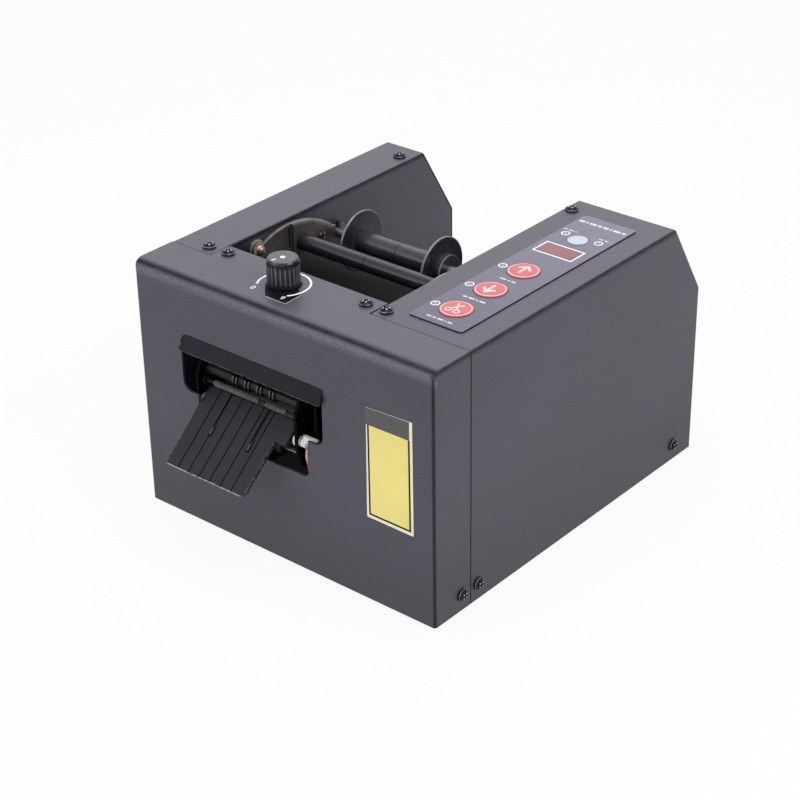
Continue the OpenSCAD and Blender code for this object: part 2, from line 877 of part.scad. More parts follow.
// Posts under the rear top screws, straps by the shelf
module cover_brackets() seat() color("#2c2c31") {
  post_ends = [
    [left_screw_x - post_w / 2, left_screw_x + post_w / 2, left_screw_x],
    [box_x + sheet + wall_fit, right_screw_x + post_w / 2, right_screw_x]
  ];
  strap_ends = [
    [left_screw_x, tongue_x0 + tongue_in_left],
    [tongue_x1 - tongue_in_right, right_screw_x]
  ];
  for (e = post_ends)
    difference() {
      across(e[0], e[1] - e[0])
        difference() {
          translate([top_screw_back - bracket_d / 2, base_top])
            square([bracket_d, inner_z - base_top]);
          translate([top_screw_back - bracket_d / 2 + base_t, base_top + base_t])
            square([bracket_d, inner_z - base_top - base_t - bracket_t]);
        }
      translate([e[2], top_screw_back, inner_z - bracket_t - over])
        cylinder(d = screw_d + 2 * run_fit, h = bracket_t + 2 * over);
    }
  for (e = strap_ends)
    difference() {
      translate([e[0] - post_w / 2, top_screw_y - bracket_d / 2, inner_z - bracket_t])
        cube([e[1] - e[0] + post_w, bracket_d, bracket_t]);
      for (x = e)
        translate([x, top_screw_y, inner_z - bracket_t - over])
          cylinder(d = screw_d + 2 * run_fit, h = bracket_t + 2 * over);
    }
}

module cover_screws() seat() color("#19191b") {
  at_top_screws()
    pan_screw(screw_d, screw_head_d, screw_head_h, screw_l);
  at_side_screws()
    pan_screw(screw_d, screw_head_d, screw_head_h, screw_l);
}

module power_supply() seat() color("#a7aab0") {
  size = [box_w - 24, body_d * 0.45, 32];
  vents = 9;
  translate([box_x + 12, tongue_d + 26, base_top])
    difference() {
      cube(size);
      for (i = [0:vents - 1])
        translate([6, size[1] * (0.2 + 0.07 * i), size[2] - 1.5])
          cube([size[0] - 12, 3, 3]);
      translate([-over, -over, size[2] * 0.45])
        cube([size[0] + 2 * over, 12 + over, size[2]]);
    }
}

// Holes of the control panel for keys, lamps and display
module panel_holes(z, h) {
  for (y = key_ys)
    translate([key_x, y, z])
      cylinder(d = key_d + 2 * key_gap, h = h);
  translate([key_x, power_cy, z])
    cylinder(d = power_d + 2 * key_gap, h = h);
  for (p = led_places)
    translate([p[0], p[1], z])
      cylinder(d = led_d + 2 * window_gap, h = h);
  translate([key_x - window_w / 2 - window_gap, window_cy - window_l / 2 - window_gap, z])
    cube([window_w + 2 * window_gap, window_l + 2 * window_gap, h]);
}

module control_overlay() seat() color("#4a4b55") {
  difference() {
    translate([overlay_x, overlay_y, body_h])
      linear_extrude(overlay_t)
        round_box(overlay_w, overlay_l, overlay_r);
    panel_holes(body_h - over, overlay_t + 2 * over);
  }
}

module display_window() seat() color("#7a3a40") {
  translate([key_x - window_w / 2, window_cy - window_l / 2, inner_z])
    cube([window_w, window_l, sheet + overlay_t]);
}

module display_module() seat() color("#e8e6df") {
  z0 = board_z + board_t;
  translate([key_x - window_w / 2, window_cy - window_l / 2, z0])
    cube([window_w, window_l, inner_z - z0]);
}

module control_board() seat() color("#1f5a3a") {
  tact_w = 6;
  board_w = overlay_w - 4;
  board_l = overlay_l - 12;
  pillars = [for (x = [4, board_w - 4], y = [6, board_l - 6]) [x, y]];
  translate([overlay_x + 2, overlay_y + 6, board_z])
    difference() {
      cube([board_w, board_l, board_t]);
      for (p = pillars)
        translate([p[0], p[1], -over])
          cylinder(d = 3, h = board_t + 2 * over);
    }
  // Pillars that hang the board under the top
  for (p = pillars)
    translate([overlay_x + 2 + p[0], overlay_y + 6 + p[1], board_z + board_t])
      cylinder(d = 6, h = board_drop - board_t);
  for (y = concat(key_ys, [power_cy]))
    translate([key_x - tact_w / 2, y - tact_w / 2, board_z + board_t]) {
      cube([tact_w, tact_w, tact_h - 1]);
      translate([tact_w / 2, tact_w / 2, 0])
        cylinder(d = 3.4, h = tact_h);
    }
}

module indicator_leds() seat() color("#e9e4d8") {
  z0 = board_z + board_t;
  for (p = led_places)
    translate([p[0], p[1], z0]) {
      cylinder(d = led_d, h = body_h + overlay_t - z0 - led_d * 0.3);
      translate([0, 0, body_h + overlay_t - z0 - led_d * 0.3])
        intersection() {
          sphere(d = led_d);
          cylinder(d = led_d, h = led_d);
        }
    }
}

// A round key with its dome, flange and stem
module key(d, y) {
  edge_z = body_h + overlay_t + key_proud;
  dome = d * 0.035;
  dome_r = (pow(d / 2, 2) + pow(dome, 2)) / (2 * dome);
  flange_z = inner_z - clear - key_flange_t;
  stem_z = board_z + board_t + tact_h + key_travel + clear;
  translate([key_x, y, 0])
    rotate_extrude() {
      intersection() {
        translate([0, edge_z + dome - dome_r])
          circle(dome_r, $fn = 256);
        translate([0, flange_z])
          square([d / 2, edge_z + dome - flange_z]);
      }
      translate([0, flange_z])
        square([d / 2 + key_gap + 1, key_flange_t]);
      translate([0, stem_z])
        square([d * 0.15, flange_z - stem_z]);
    }
}

module cut_button() seat() color("#d8534f") key(key_d, key_ys[0]);

module return_button() seat() color("#d8534f") key(key_d, key_ys[1]);

module feed_button() seat() color("#d8534f") key(key_d, key_ys[2]);

module power_button() seat() color("#c3d4df") key(power_d, power_cy);

module speed_knob() seat() color("#2c2c30") {
  skirt_h = 1;
  collar_h = 2.6;
  flute_d = 1.9;
  flute_h = knob_h - knob_gap - skirt_h - collar_h;
  tilt = atan((skirt_d - knob_top_d - 1.4) / 2 / flute_h);
  bore_top = knob_h - 2.5;
  hollow_d = skirt_d - 5;
  hollow_h = bush_rise + 1;
  translate([knob_x, knob_y, body_h])
    difference() {
      union() {
        translate([0, 0, knob_gap])
          cylinder(d = skirt_d, h = skirt_h);
        translate([0, 0, knob_gap])
          cylinder(d1 = skirt_d - 0.6, d2 = knob_top_d + 0.8, h = knob_h - knob_gap - collar_h);
        translate([0, 0, knob_h - collar_h - over])
          cylinder(d = knob_top_d - 0.6, h = collar_h);
        translate([0, 0, knob_h - collar_h + 0.6])
          cylinder(d = knob_top_d + 0.2, h = collar_h - 1.6);
        translate([0, 0, knob_h - 1])
          cylinder(d1 = knob_top_d + 0.2, d2 = knob_top_d - 1.4, h = 1);
      }
      for (i = [0:flutes - 1])
        rotate(360 * i / flutes)
          translate([skirt_d / 2 - 0.1, 0, knob_gap + skirt_h])
            rotate([0, -tilt, 0])
              cylinder(d = flute_d, h = flute_h);
      translate([0, 0, -over])
        cylinder(d = hollow_d, h = hollow_h + over);
      cylinder(d = pot_shaft_d + 2 * seat_fit, h = bore_top);
    }
}

module knob_shaft() seat() color("#b9b9bd") {
  translate([knob_x, knob_y, inner_z - pot_h / 2])
    cylinder(d = pot_shaft_d, h = sheet + pot_h / 2 + knob_h - 3);
}

module potentiometer() seat() color("#8c8f96") {
  pin_w = 1.4;
  translate([knob_x, knob_y, 0]) {
    difference() {
      union() {
        translate([0, 0, inner_z - pot_h])
          cylinder(d = pot_d, h = pot_h);
        translate([0, 0, inner_z])
          cylinder(d = pot_bush_d, h = sheet + bush_rise);
        for (i = [-1:1])
          translate([i * 5 - pin_w / 2, -pot_d / 2 - 5, inner_z - pot_h + 2])
            cube([pin_w, pot_d / 2, 0.8]);
      }
      translate([0, 0, inner_z - pot_h / 2 - clear])
        cylinder(d = pot_shaft_d + 2 * run_fit, h = pot_h + sheet + bush_rise);
    }
    translate([0, 0, body_h])
      difference() {
        cylinder(d = pot_bush_d + 5, h = pot_nut_t, $fn = 6);
        translate([0, 0, -over])
          cylinder(d = pot_bush_d + 2 * seat_fit, h = pot_nut_t + 2 * over);
      }
  }
}

module visor() seat() color("#1d1d20") {
  lip_z = slot_top - visor_drop;
  top_z = slot_top - visor_fit;
  back_y = sheet + visor_fit;
  side = 1.2;
  visor_w = slot_w + 2 * side;
  flange_w = slot_w - 2 * slot_r;
  intersection() {
    across(slot_cx - visor_w / 2, visor_w)
      polygon([
        [-visor_fit, top_z], [-visor_proud, lip_z + 0.8], [-visor_proud + 0.5, lip_z],
        [-visor_proud + visor_t, lip_z], [-visor_fit, top_z - visor_t * 3],
        [-visor_fit, top_z - visor_t]
      ]);
    deep(-visor_proud - over, visor_proud + 2 * over)
      translate([slot_cx - visor_w / 2, lip_z])
        polygon([
          [6.2, top_z - lip_z], [1.9, 1.8], [4.4, 0],
          [visor_w - 1.5, 0], [visor_w, 2], [visor_w - 0.6, top_z - lip_z]
        ]);
  }
  intersection() {
    across(slot_cx - slot_w / 2 + visor_fit, slot_w - 2 * visor_fit)
      polygon([
        [-visor_fit, top_z], [-visor_fit, top_z - visor_t * 3],
        [back_y, top_z - visor_t * 3], [back_y, top_z]
      ]);
    deep(-over, back_y + over)
      translate([slot_cx - slot_w / 2 + visor_fit, slot_mid])
        round_box(slot_w - 2 * visor_fit, top_z - slot_mid, slot_r - visor_fit);
  }
  translate([slot_cx - flange_w / 2, back_y, top_z - visor_t * 3])
    cube([flange_w, visor_t, visor_t * 3 + visor_flange]);
}

// Frame of the ramp: along its slope and square to its face
module on_ramp() {
  translate([0, ramp_hinge_y, ramp_hinge_z])
    rotate([ramp_angle, 0, 0])
      children();
}

// Plan of the ramp with its round front corners
module ramp_plan() {
  l = ramp_down + ramp_up;
  left = ramp_corner * 0.3;
  translate([ramp_x0, -ramp_down]) {
    translate([0, ramp_corner])
      square([ramp_w, l - ramp_corner]);
    translate([0, left])
      square([ramp_w - ramp_corner, l - left]);
    translate([left, 0])
      square([ramp_w - ramp_corner - left, l]);
    translate([left, left])
      circle(left);
    translate([ramp_w - ramp_corner, ramp_corner])
      circle(ramp_corner);
  }
  translate([ramp_x0, -ramp_up])
    square([ramp_w + wing_w, 2 * ramp_up]);
}

module exit_ramp() seat() color("#232327") {
  grooves = floor((ramp_w - 4) / groove_pitch);
  groove_x = ramp_x0 + (ramp_w - (grooves - 1) * groove_pitch) / 2;
  finger_w = 2.6;
  finger_l = ramp_down * 0.45;
  finger_depth = ramp_t * 0.6;
  ridge_w = 1.2;
  ridge_up = 0.7;
  ridge_low = ramp_lift - ramp_t * 0.8;
  finger_xs = [ramp_x0 + ramp_w * 0.3, ramp_x0 + ramp_w * 0.78];
  leg = [4, 3];
  leg_top = ramp_hinge_z - ramp_boss_r * 0.78;
  inset = 0.4;
  difference() {
    union() {
      on_ramp() {
        difference() {
          translate([0, 0, ramp_lift - ramp_t])
            linear_extrude(ramp_t)
              ramp_plan();
          for (i = [0:grooves - 1])
            translate([groove_x + i * groove_pitch - groove_w / 2, -ramp_down - over,
              ramp_lift - groove_depth])
              cube([groove_w, ramp_down + ramp_up + 2 * over, groove_depth + over]);
          for (x = finger_xs)
            translate([x - finger_w / 2, -finger_l, ramp_lift - finger_depth])
              cube([finger_w, finger_l + ramp_up + over, ramp_t]);
        }
        // Ridges that rise out of the two short slots
        for (x = finger_xs)
          across(x - ridge_w / 2, ridge_w)
            polygon([
              [-finger_l + 1, ridge_low], [-finger_l + 1, ramp_lift + ridge_up],
              [-finger_l + 4, ramp_lift + ridge_up], [-finger_l + 9, ramp_lift - ramp_t * 0.3],
              [ramp_up - inset, ramp_lift - ramp_t * 0.3], [ramp_up - inset, ridge_low]
            ]);
        // Hinge barrel under the plate
        bar(ramp_x0 + inset, ramp_w + wing_w - 2 * inset, 0, 0, 2 * ramp_boss_r);
      }
      // Legs that rest against the stop bar
      for (x = [ramp_x0 + leg[0], ramp_x0 + ramp_w - 2 * leg[0]])
        translate([x, stop_y - rod_d / 2 - clear - leg[1], stop_z - 2])
          cube([leg[0], leg[1], leg_top - stop_z + 2]);
    }
    bar(ramp_x0 - over, ramp_w + wing_w + 2 * over, ramp_hinge_y, ramp_hinge_z,
      ramp_shaft_d + 2 * seat_fit);
  }
}

module ramp_shaft() seat() color("#a9abb0") {
  bar(frame_x0 - frame_t - 2, frame_gap + 2 * frame_t + bush_flange_t + 5.2,
    ramp_hinge_y, ramp_hinge_z, ramp_shaft_d);
  bar(frame_x0 - frame_t - 3.2, 1.2, ramp_hinge_y, ramp_hinge_z, ramp_shaft_d + 2);
}

module ramp_bushes() seat() color("#efeee8") {
  room = ramp_x0 - frame_x0 - clear;
  for (s = [0, 1])
    translate([s == 0 ? frame_x0 : frame_x1, ramp_hinge_y, ramp_hinge_z])
      rotate([0, s == 0 ? -90 : 90, 0])
        difference() {
          union() {
            translate([0, 0, -min(bush_flange_t, room)])
              cylinder(r = bush_flange_r, h = min(bush_flange_t, room));
            cylinder(r = bush_r, h = frame_t + 0.6);
          }
          translate([0, 0, -bush_flange_t - over])
            cylinder(d = ramp_shaft_d + 2 * run_fit, h = frame_t + bush_flange_t + 3);
        }
}

module switch_flag() seat() color("#f0efe9") {
  hub_l = 3.4;
  paddle_l = 10;
  difference() {
    union() {
      bar(flag_x, hub_l, ramp_hinge_y, ramp_hinge_z, ramp_shaft_d + 2.8);
      across(flag_x + hub_l - 1, paddle_l)
        polygon([
          [ramp_hinge_y - 1.8, ramp_hinge_z - 1.6], [ramp_hinge_y - 3.2, ramp_hinge_z + 2],
          [ramp_hinge_y - 3.2, ramp_hinge_z + flag_h - 0.4], [ramp_hinge_y - 1.6, ramp_hinge_z + flag_h],
          [ramp_hinge_y + 1.6, ramp_hinge_z + 1.6], [ramp_hinge_y + 1.6, ramp_hinge_z - 1.6]
        ]);
    }
    bar(flag_x - over, hub_l + over, ramp_hinge_y, ramp_hinge_z, ramp_shaft_d + 2 * seat_fit);
  }
}

// Small snap switch beside the right frame
switch_y = ramp_hinge_y + 5;
switch_low = ramp_hinge_z - 7;
switch_block = [6, 9, 9];

module exit_switch() seat() color("#1b1b1d") {
  translate([drive_x, switch_y, switch_low]) {
    cube(switch_block);
    for (y = [1.5, 6])
      translate([switch_block[0] / 2 - 0.4, y, -1.2])
        cube([0.8, 1.6, 1.2]);
    translate([1, 0.6, switch_block[2]])
      cube([switch_block[0] - 2, switch_block[1] - 2, 0.5]);
  }
}

// Route of the switch's wire
wire_r = 0.8;
wire_route = [
  [drive_x + 3, switch_y - wire_r - 1.2, switch_low + 3],
  [drive_x + 3, switch_y - wire_r - 4, switch_low + 1],
  [drive_x + 4.5, ramp_hinge_y - 1, switch_low - 5],
  [drive_x + 8, ramp_hinge_y - 1.5, switch_low - 14],
  [drive_x + 14, ramp_hinge_y + 1, switch_low - 26],
  [drive_x + 22, ramp_hinge_y + 10, switch_low - 38],
  [drive_x + 34, ramp_hinge_y + 26, switch_low - 50],
  [drive_x + 50, ramp_hinge_y + 44, switch_low - 60],
  [drive_x + 58, ramp_hinge_y + 52, switch_low - 63]
];
function bent(p, i, t) = let (
  a = p[max(i - 1, 0)], b = p[i], c = p[i + 1], d = p[min(i + 2, len(p) - 1)])
  0.5 * (2 * b + (c - a) * t + (2 * a - 5 * b + 4 * c - d) * t * t
    + (3 * b - a - 3 * c + d) * t * t * t);
wire_steps = 4;
wire_centres = concat(
  [for (i = [0:len(wire_route) - 2], k = [0:wire_steps - 1]) bent(wire_route, i, k / wire_steps)],
  [wire_route[len(wire_route) - 1]]);

module switch_wire() seat() color("#c8501e") {
  tube(wire_centres, [for (c = wire_centres) [1, 0.2, 0.3]], wire_r, 8);
  // Plug at the wire's inner end, on the tray
  last = wire_route[len(wire_route) - 1];
  translate([last[0] - 3, last[1], base_top])
    cube([6, 8, last[2] + 3 - base_top]);
  // Cable lug at the switch
  translate([drive_x + 1.5, switch_y - 2, switch_low + 1.5])
    cube([3, 2, 3]);
}

module exit_roller_shaft() seat() color("#6f7176") {
  end = 1;
  bar(frame_x0 - frame_t - end, frame_gap + 2 * (frame_t + end), exit_y, exit_z, core_wire_d);
  for (x = [frame_x0 + clear, frame_x1 - clear - 1.6])
    bar(x, 1.6, exit_y, exit_z, coil_d + 2);
}

core_wire_d = coil_d - 2 * wire_d - 0.2;
coil_mid_r = (coil_d - wire_d) / 2;
coil_x0 = feed_cx - 1 - coil_l / 2;
coil_split = 2.4;
coil_right_l = coil_l - coil_left_l - coil_split;
coil_rings = 8;

// Centres of a coil's wire, straight at each end
function coil_centres(x0, l) = let (
  turns = floor((l - 2 * wire_d) / coil_pitch),
  n = turns * coil_rings,
  on_turn = [for (i = [0:n]) let (a = 360 * i / coil_rings)
    [x0 + wire_d + coil_pitch * i / coil_rings, coil_mid_r * cos(a), coil_mid_r * sin(a)]])
  concat([on_turn[0] - [0, 0, wire_d]], on_turn, [on_turn[n] + [0, 0, wire_d]]);
function coil_outward(c) = [for (p = c) unit([0, p[1], p[2]])];
function least_gap(c) = min([
  for (i = [0:len(c) - 1], j = [i + coil_rings - 2:1:min(i + coil_rings + 2, len(c) - 1)])
    norm(c[i] - c[j])
]) - wire_d;

module exit_roller_coil() seat() color("#77797f") {
  for (p = [[coil_x0, coil_left_l], [coil_x0 + coil_left_l + coil_split, coil_right_l]]) {
    c = coil_centres(p[0], p[1]);
    echo(coil_least_gap = least_gap(c));
    translate([0, exit_y, exit_z])
      tube(c, coil_outward(c), wire_d / 2, 6);
  }
}

ring_t = 1.4;
ring_space = 2.6;
ring_pairs = 4;
ring_xs = [
  for (i = [0:ring_pairs - 1], s = [-1, 1])
    feed_cx + 1 + (i - (ring_pairs - 1) / 2) * ring_pitch + s * ring_space / 2
];
ring_core_d = ring_d - 2.6;

module ring_roller() seat() color("#1c1c1f") {
  difference() {
    union() {
      bar(frame_x0 + clear, frame_gap - 2 * clear, ring_roller_y, ring_z, ring_core_d);
      bar(frame_x0 - frame_t - 0.6, frame_gap + 2 * frame_t + 1.2, ring_roller_y, ring_z, journal_d);
    }
    // Seats of the rubber rings
    for (x = ring_xs)
      translate([x, ring_roller_y, ring_z])
        rotate([0, 90, 0])
          rotate_extrude()
            translate([ring_d / 2 - ring_t / 2, 0])
              circle(d = ring_t + 2 * seat_fit, $fn = 24);
  }
}

module roller_rings() seat() color("#0f0f10") {
  for (x = ring_xs)
    translate([x, ring_roller_y, ring_z])
      rotate([0, 90, 0])
        rotate_extrude()
          translate([ring_d / 2 - ring_t / 2, 0])
            circle(d = ring_t, $fn = 24);
}

// Side outline of a feed frame
module frame_outline() {
  polygon([
    [bed_y - 6, base_top], [frame_back, base_top], [frame_back, frame_top - 4],
    [frame_back - 4, frame_top], [bed_y - 6, frame_top], [ring_roller_y - 5, tape_z + 12],
    [frame_front, tape_z + 3], [frame_front, ramp_hinge_z - 5],
    [stop_y - 5, stop_z - 5], [bed_y - 6, stop_z - 12]
  ]);
}

// Bores that both feed frames share
module frame_bores(x) {
  l = frame_t + 2 * over;
  bar(x - over, l, ramp_hinge_y, ramp_hinge_z, 2 * (bush_r + seat_fit));
  bar(x - over, l, exit_y, exit_z, core_wire_d + 2 * run_fit);
  bar(x - over, l, ring_roller_y, ring_z, journal_d + 2 * run_fit);
  bar(x - over, l, feed_y, feed_z, feed_shaft_d + 2 * run_fit);
  bar(x - over, l, feed_y, pinch_z, journal_d + 2 * run_fit);
  for (r = rods)
    bar(x - over, l, r[0], r[1], rod_end_d + 2 * seat_fit);
}

// Feet on the tray: left edge, width and screws
frame_feet = [
  [frame_x0 - frame_t - foot_l, foot_l + over, foot_l / 2],
  [drive_x - over, drive_gap - over, drive_gap / 2],
  [plate_x + frame_t - over, foot_l + over, over + foot_l / 2]
];
foot_screw_d = 3;

// Runs its children at the screws of a foot
module at_foot_screws(f) {
  for (y = [bed_y, frame_back - 6])
    translate([f[0] + f[2], y, base_top])
      children();
}

// A frame's foot on the tray
module frame_foot(f) {
  difference() {
    translate([f[0], bed_y - 6, base_top])
      cube([f[1], frame_back - bed_y + 6, frame_t]);
    at_foot_screws(f)
      translate([0, 0, -over])
        cylinder(d = foot_screw_d + 2 * run_fit, h = frame_t + 2 * over);
  }
}

module feed_frame_left() seat() color("#28282c") {
  difference() {
    across(frame_x0 - frame_t, frame_t)
      frame_outline();
    frame_bores(frame_x0 - frame_t);
  }
  frame_foot(frame_feet[0]);
}

module feed_frame_right() seat() color("#28282c") {
  difference() {
    across(frame_x1, frame_t)
      frame_outline();
    frame_bores(frame_x1);
    // Window for the arm of the blade carrier
    translate([frame_x1 - over, crank_y - arm_bar_d / 2 - window_play,
      carrier_z - stroke - window_play])
      cube([frame_t + 2 * over, arm_bar_d + 2 * window_play,
        carrier_h + stroke + 2 * window_play]);
  }
  frame_foot(frame_feet[1]);
}

module motor_plate() seat() color("#28282c") {
  d = motor_shaft_d + 3;
  difference() {
    across(plate_x, frame_t)
      polygon([
        [bed_y - 6, base_top], [frame_back, base_top], [frame_back, plate_top - 6],
        [frame_back - 6, plate_top], [bed_y - 6, plate_top], [plate_front, tape_z + 14],
        [plate_front, stop_z - 5], [bed_y - 6, stop_z - 12]
      ]);
    bar(plate_x - over, frame_t + 2 * over, pinion_y, pinion_z, d);
    bar(plate_x - over, frame_t + 2 * over, crank_y, crank_z, d);
    bar(plate_x - over, frame_t + 2 * over, ramp_hinge_y, ramp_hinge_z, 2 * flag_sweep);
    for (r = rods)
      bar(plate_x - over, frame_t + 2 * over, r[0], r[1], rod_end_d + 2 * seat_fit);
  }
  frame_foot(frame_feet[2]);
}

rod_left = frame_x0 - frame_t - nut_t;
rod_right = plate_x + frame_t + nut_t;

module tie_rods() seat() color("#8f9197") {
  for (r = rods) {
    bar(frame_x0, frame_gap, r[0], r[1], rod_d);
    bar(rod_left, rod_right - rod_left, r[0], r[1], rod_end_d);
  }
}

module frame_spacers() seat() color("#9a9ca1") {
  for (r = rods, p = [[rod_left, nut_t, 6], [drive_x, drive_gap, 32], [plate_x + frame_t, nut_t, 6]])
    difference() {
      translate([p[0], r[0], r[1]])
        rotate([0, 90, 0])
          cylinder(d = nut_d, h = p[1], $fn = p[2]);
      bar(p[0] - over, p[1] + 2 * over, r[0], r[1], rod_end_d + 2 * seat_fit);
    }
}

module feed_roller() seat() color("#3c3a38") {
  lands = 6;
  roller_l = frame_gap - 8;
  difference() {
    bar(feed_cx - roller_l / 2, roller_l, feed_y, feed_z, feed_d);
    bar(feed_cx - roller_l / 2 - over, roller_l + 2 * over, feed_y, feed_z, feed_shaft_d + 2 * seat_fit);
    // Grooves that keep the tape from sticking
    for (i = [1:lands - 1])
      translate([feed_cx - roller_l / 2 + i * roller_l / lands, feed_y, feed_z])
        rotate([0, 90, 0])
          rotate_extrude()
            translate([feed_d / 2 - 1.5, -1])
              square([3, 2]);
  }
}

module feed_shaft() seat() color("#aeb0b5") {
  bar(frame_x0 - frame_t - 1.5, gear_x + gear_w - frame_x0 + frame_t + 1.5, feed_y, feed_z, feed_shaft_d);
  for (x = [frame_x0 + clear, frame_x1 - clear - 2])
    difference() {
      bar(x, 2, feed_y, feed_z, feed_shaft_d + 4);
      bar(x - over, 2 + 2 * over, feed_y, feed_z, feed_shaft_d + 2 * seat_fit);
    }
}

module pinch_roller() seat() color("#3c3a38") {
  bar(frame_x0 + 3, frame_gap - 6, feed_y, pinch_z, pinch_d);
  bar(frame_x0 - frame_t - 0.6, frame_gap + 2 * frame_t + 1.2, feed_y, pinch_z, journal_d);
}

// Lightening holes round a gear's web
module web_holes(d, r, count) {
  for (i = [0:count - 1])
    rotate(360 * i / count)
      translate([r, 0])
        circle(d = d);
}

module feed_gear() seat() color("#e4e1d4") {
  translate([0, feed_y, feed_z])
    across(gear_x, gear_w)
      difference() {
        rotate(mesh_angle)
          gear_outline(feed_teeth);
        circle(d = feed_shaft_d + 2 * seat_fit);
        web_holes(tooth_m * feed_teeth / 7, tooth_m * feed_teeth / 3.6, 6);
      }
}

module motor_pinion() seat() color("#c9a24a") {
  translate([0, pinion_y, pinion_z]) {
    across(gear_x, gear_w)
      rotate(mesh_angle + 180 + 180 / pinion_teeth)
        gear_outline(pinion_teeth);
    bar(gear_x + gear_w, plate_x + frame_t - gear_x - gear_w + 8, 0, 0, motor_shaft_d);
  }
}

// A gear motor, its shaft left of the origin
module gear_motor(d, l, shaft_in) {
  gearbox_l = l * 0.45;
  difference() {
    rotate([0, 90, 0])
      rotate_extrude()
        polygon([
          [0, 0], [d / 2, 0], [d / 2, gearbox_l], [d * 0.44, gearbox_l + 1],
          [d * 0.44, l - 3], [d * 0.4, l], [d * 0.14, l], [d * 0.14, l + 2], [0, l + 2]
        ]);
    bar(-over, shaft_in + over + clear, 0, 0, motor_shaft_d + 2 * run_fit);
  }
  for (s = [-1, 1])
    translate([l - 4, s * d * 0.22 - 1, d * 0.3])
      cube([7, 2, 0.8]);
}

module feed_motor() seat() color("#6d6f75")
  translate([plate_x + frame_t, pinion_y, pinion_z])
    gear_motor(feed_motor_d, feed_motor_l, 8);

module cutter_motor() seat() color("#6d6f75")
  translate([plate_x + frame_t, crank_y, crank_z])
    gear_motor(cutter_motor_d, cutter_motor_l, 8);

module crank() seat() color("#9a9ca1") {
  translate([0, crank_y, crank_z]) {
    bar(crank_x, crank_t, 0, 0, 2 * crank_disc_r);
    bar(crank_x + crank_t, plate_x + frame_t - crank_x - crank_t + 8, 0, 0, motor_shaft_d);
    bar(yoke_x, crank_x - yoke_x, crank_r * cos(crank_up), crank_r * sin(crank_up), crank_pin_d);
  }
}

module blade_carrier() seat() color("#33333a") {
  bar_l = frame_gap - 2;
  slot_h = crank_pin_d + 2 * yoke_play;
  slot_l = 2 * crank_r + crank_pin_d + 2 * yoke_play;
  yoke_w = slot_l + 2 * yoke_wall;
  yoke_h = slot_h + 2 * yoke_wall;
  difference() {
    translate([feed_cx - bar_l / 2, blade_front, carrier_z])
      cube([bar_l, carrier_d, carrier_h]);
    for (x = post_xs)
      translate([x, post_y, carrier_z - over])
        cylinder(d = post_d + 2 * run_fit, h = carrier_h + 2 * over);
  }
  translate([feed_cx + bar_l / 2 - over, crank_y - arm_bar_d / 2, carrier_z + 2])
    cube([yoke_x + yoke_t - feed_cx - bar_l / 2 + over, arm_bar_d, yoke_z - slot_h / 2 - carrier_z - 2]);
  across(yoke_x, yoke_t)
    difference() {
      translate([crank_y - yoke_w / 2, yoke_z - yoke_h / 2])
        round_box(yoke_w, yoke_h, 2);
      translate([crank_y - slot_l / 2, yoke_z - slot_h / 2])
        round_box(slot_l, slot_h, slot_h / 2 - 0.01);
    }
}

module upper_blade() seat() color("#c9cbd0") {
  blade_w = frame_gap - 12;
  x0 = feed_cx - blade_w / 2;
  edge = tape_z + blade_lift;
  deep(blade_front - blade_t, blade_t)
    polygon([
      [x0, edge], [x0 + blade_w, edge + blade_slant],
      [x0 + blade_w, carrier_z + carrier_h * 0.7], [x0, carrier_z + carrier_h * 0.7]
    ]);
}

module lower_blade() seat() color("#c9cbd0") {
  blade_w = frame_gap - 6;
  translate([feed_cx - blade_w / 2, blade_back, bed_z0 + 2])
    cube([blade_w, blade_t, tape_z - bed_z0 - 2]);
}

module blade_bed() seat() color("#33333a") {
  for (z = [[bed_z0, bed_z1], [frame_top - bridge_h, frame_top]])
    difference() {
      translate([frame_x0, bed_y, z[0]])
        cube([frame_gap, bed_d, z[1] - z[0]]);
      for (x = post_xs)
        translate([x, post_y, z[0] - over])
          cylinder(d = post_d + 2 * seat_fit, h = z[1] - z[0] + 2 * over);
    }
}

module guide_posts() seat() color("#c2c4c8") {
  for (x = post_xs)
    translate([x, post_y, bed_z0])
      cylinder(d = post_d, h = frame_top - bed_z0);
}

// Height of an arm's lower edge at a depth
function arm_low(y) = stud_z - stud_boss
  + (y - stud_y) * (reel_z - tail_r - stud_z + stud_boss) / (reel_y - stud_y);

// Blank of an arm, drawn in by t, between two depths
module arm_blank(y0, y1, t) {
  intersection() {
    translate([arm_y, arm_cz])
      circle(arm_r - t, $fn = 128);
    polygon([
      [y0, arm_low(y0) + t], [y1, arm_low(y1) + t],
      [y1, arm_cz + arm_r + over], [y0, arm_cz + arm_r + over]
    ]);
  }
}

module arm_outline() {
  arm_blank(stud_y, reel_y, 0);
  translate([stud_y, stud_z])
    circle(stud_boss);
  translate([reel_y, reel_z])
    circle(tail_r);
}

// Holes of an arm and the open notch for the reel's axle
module arm_holes() {
  notch = axle_d + 2 * run_fit;
  for (p = [
    [stud_y, stud_z, stud_d + 2 * seat_fit], [guide_y, guide_z, guide_shaft_d + 2 * seat_fit],
    [bolt_y, bolt_z, bolt_d + 2 * run_fit], [reel_y, reel_z, notch]
  ])
    translate([p[0], p[1]])
      circle(d = p[2]);
  translate([reel_y - notch / 2, reel_z])
    square([notch, arm_r]);
}

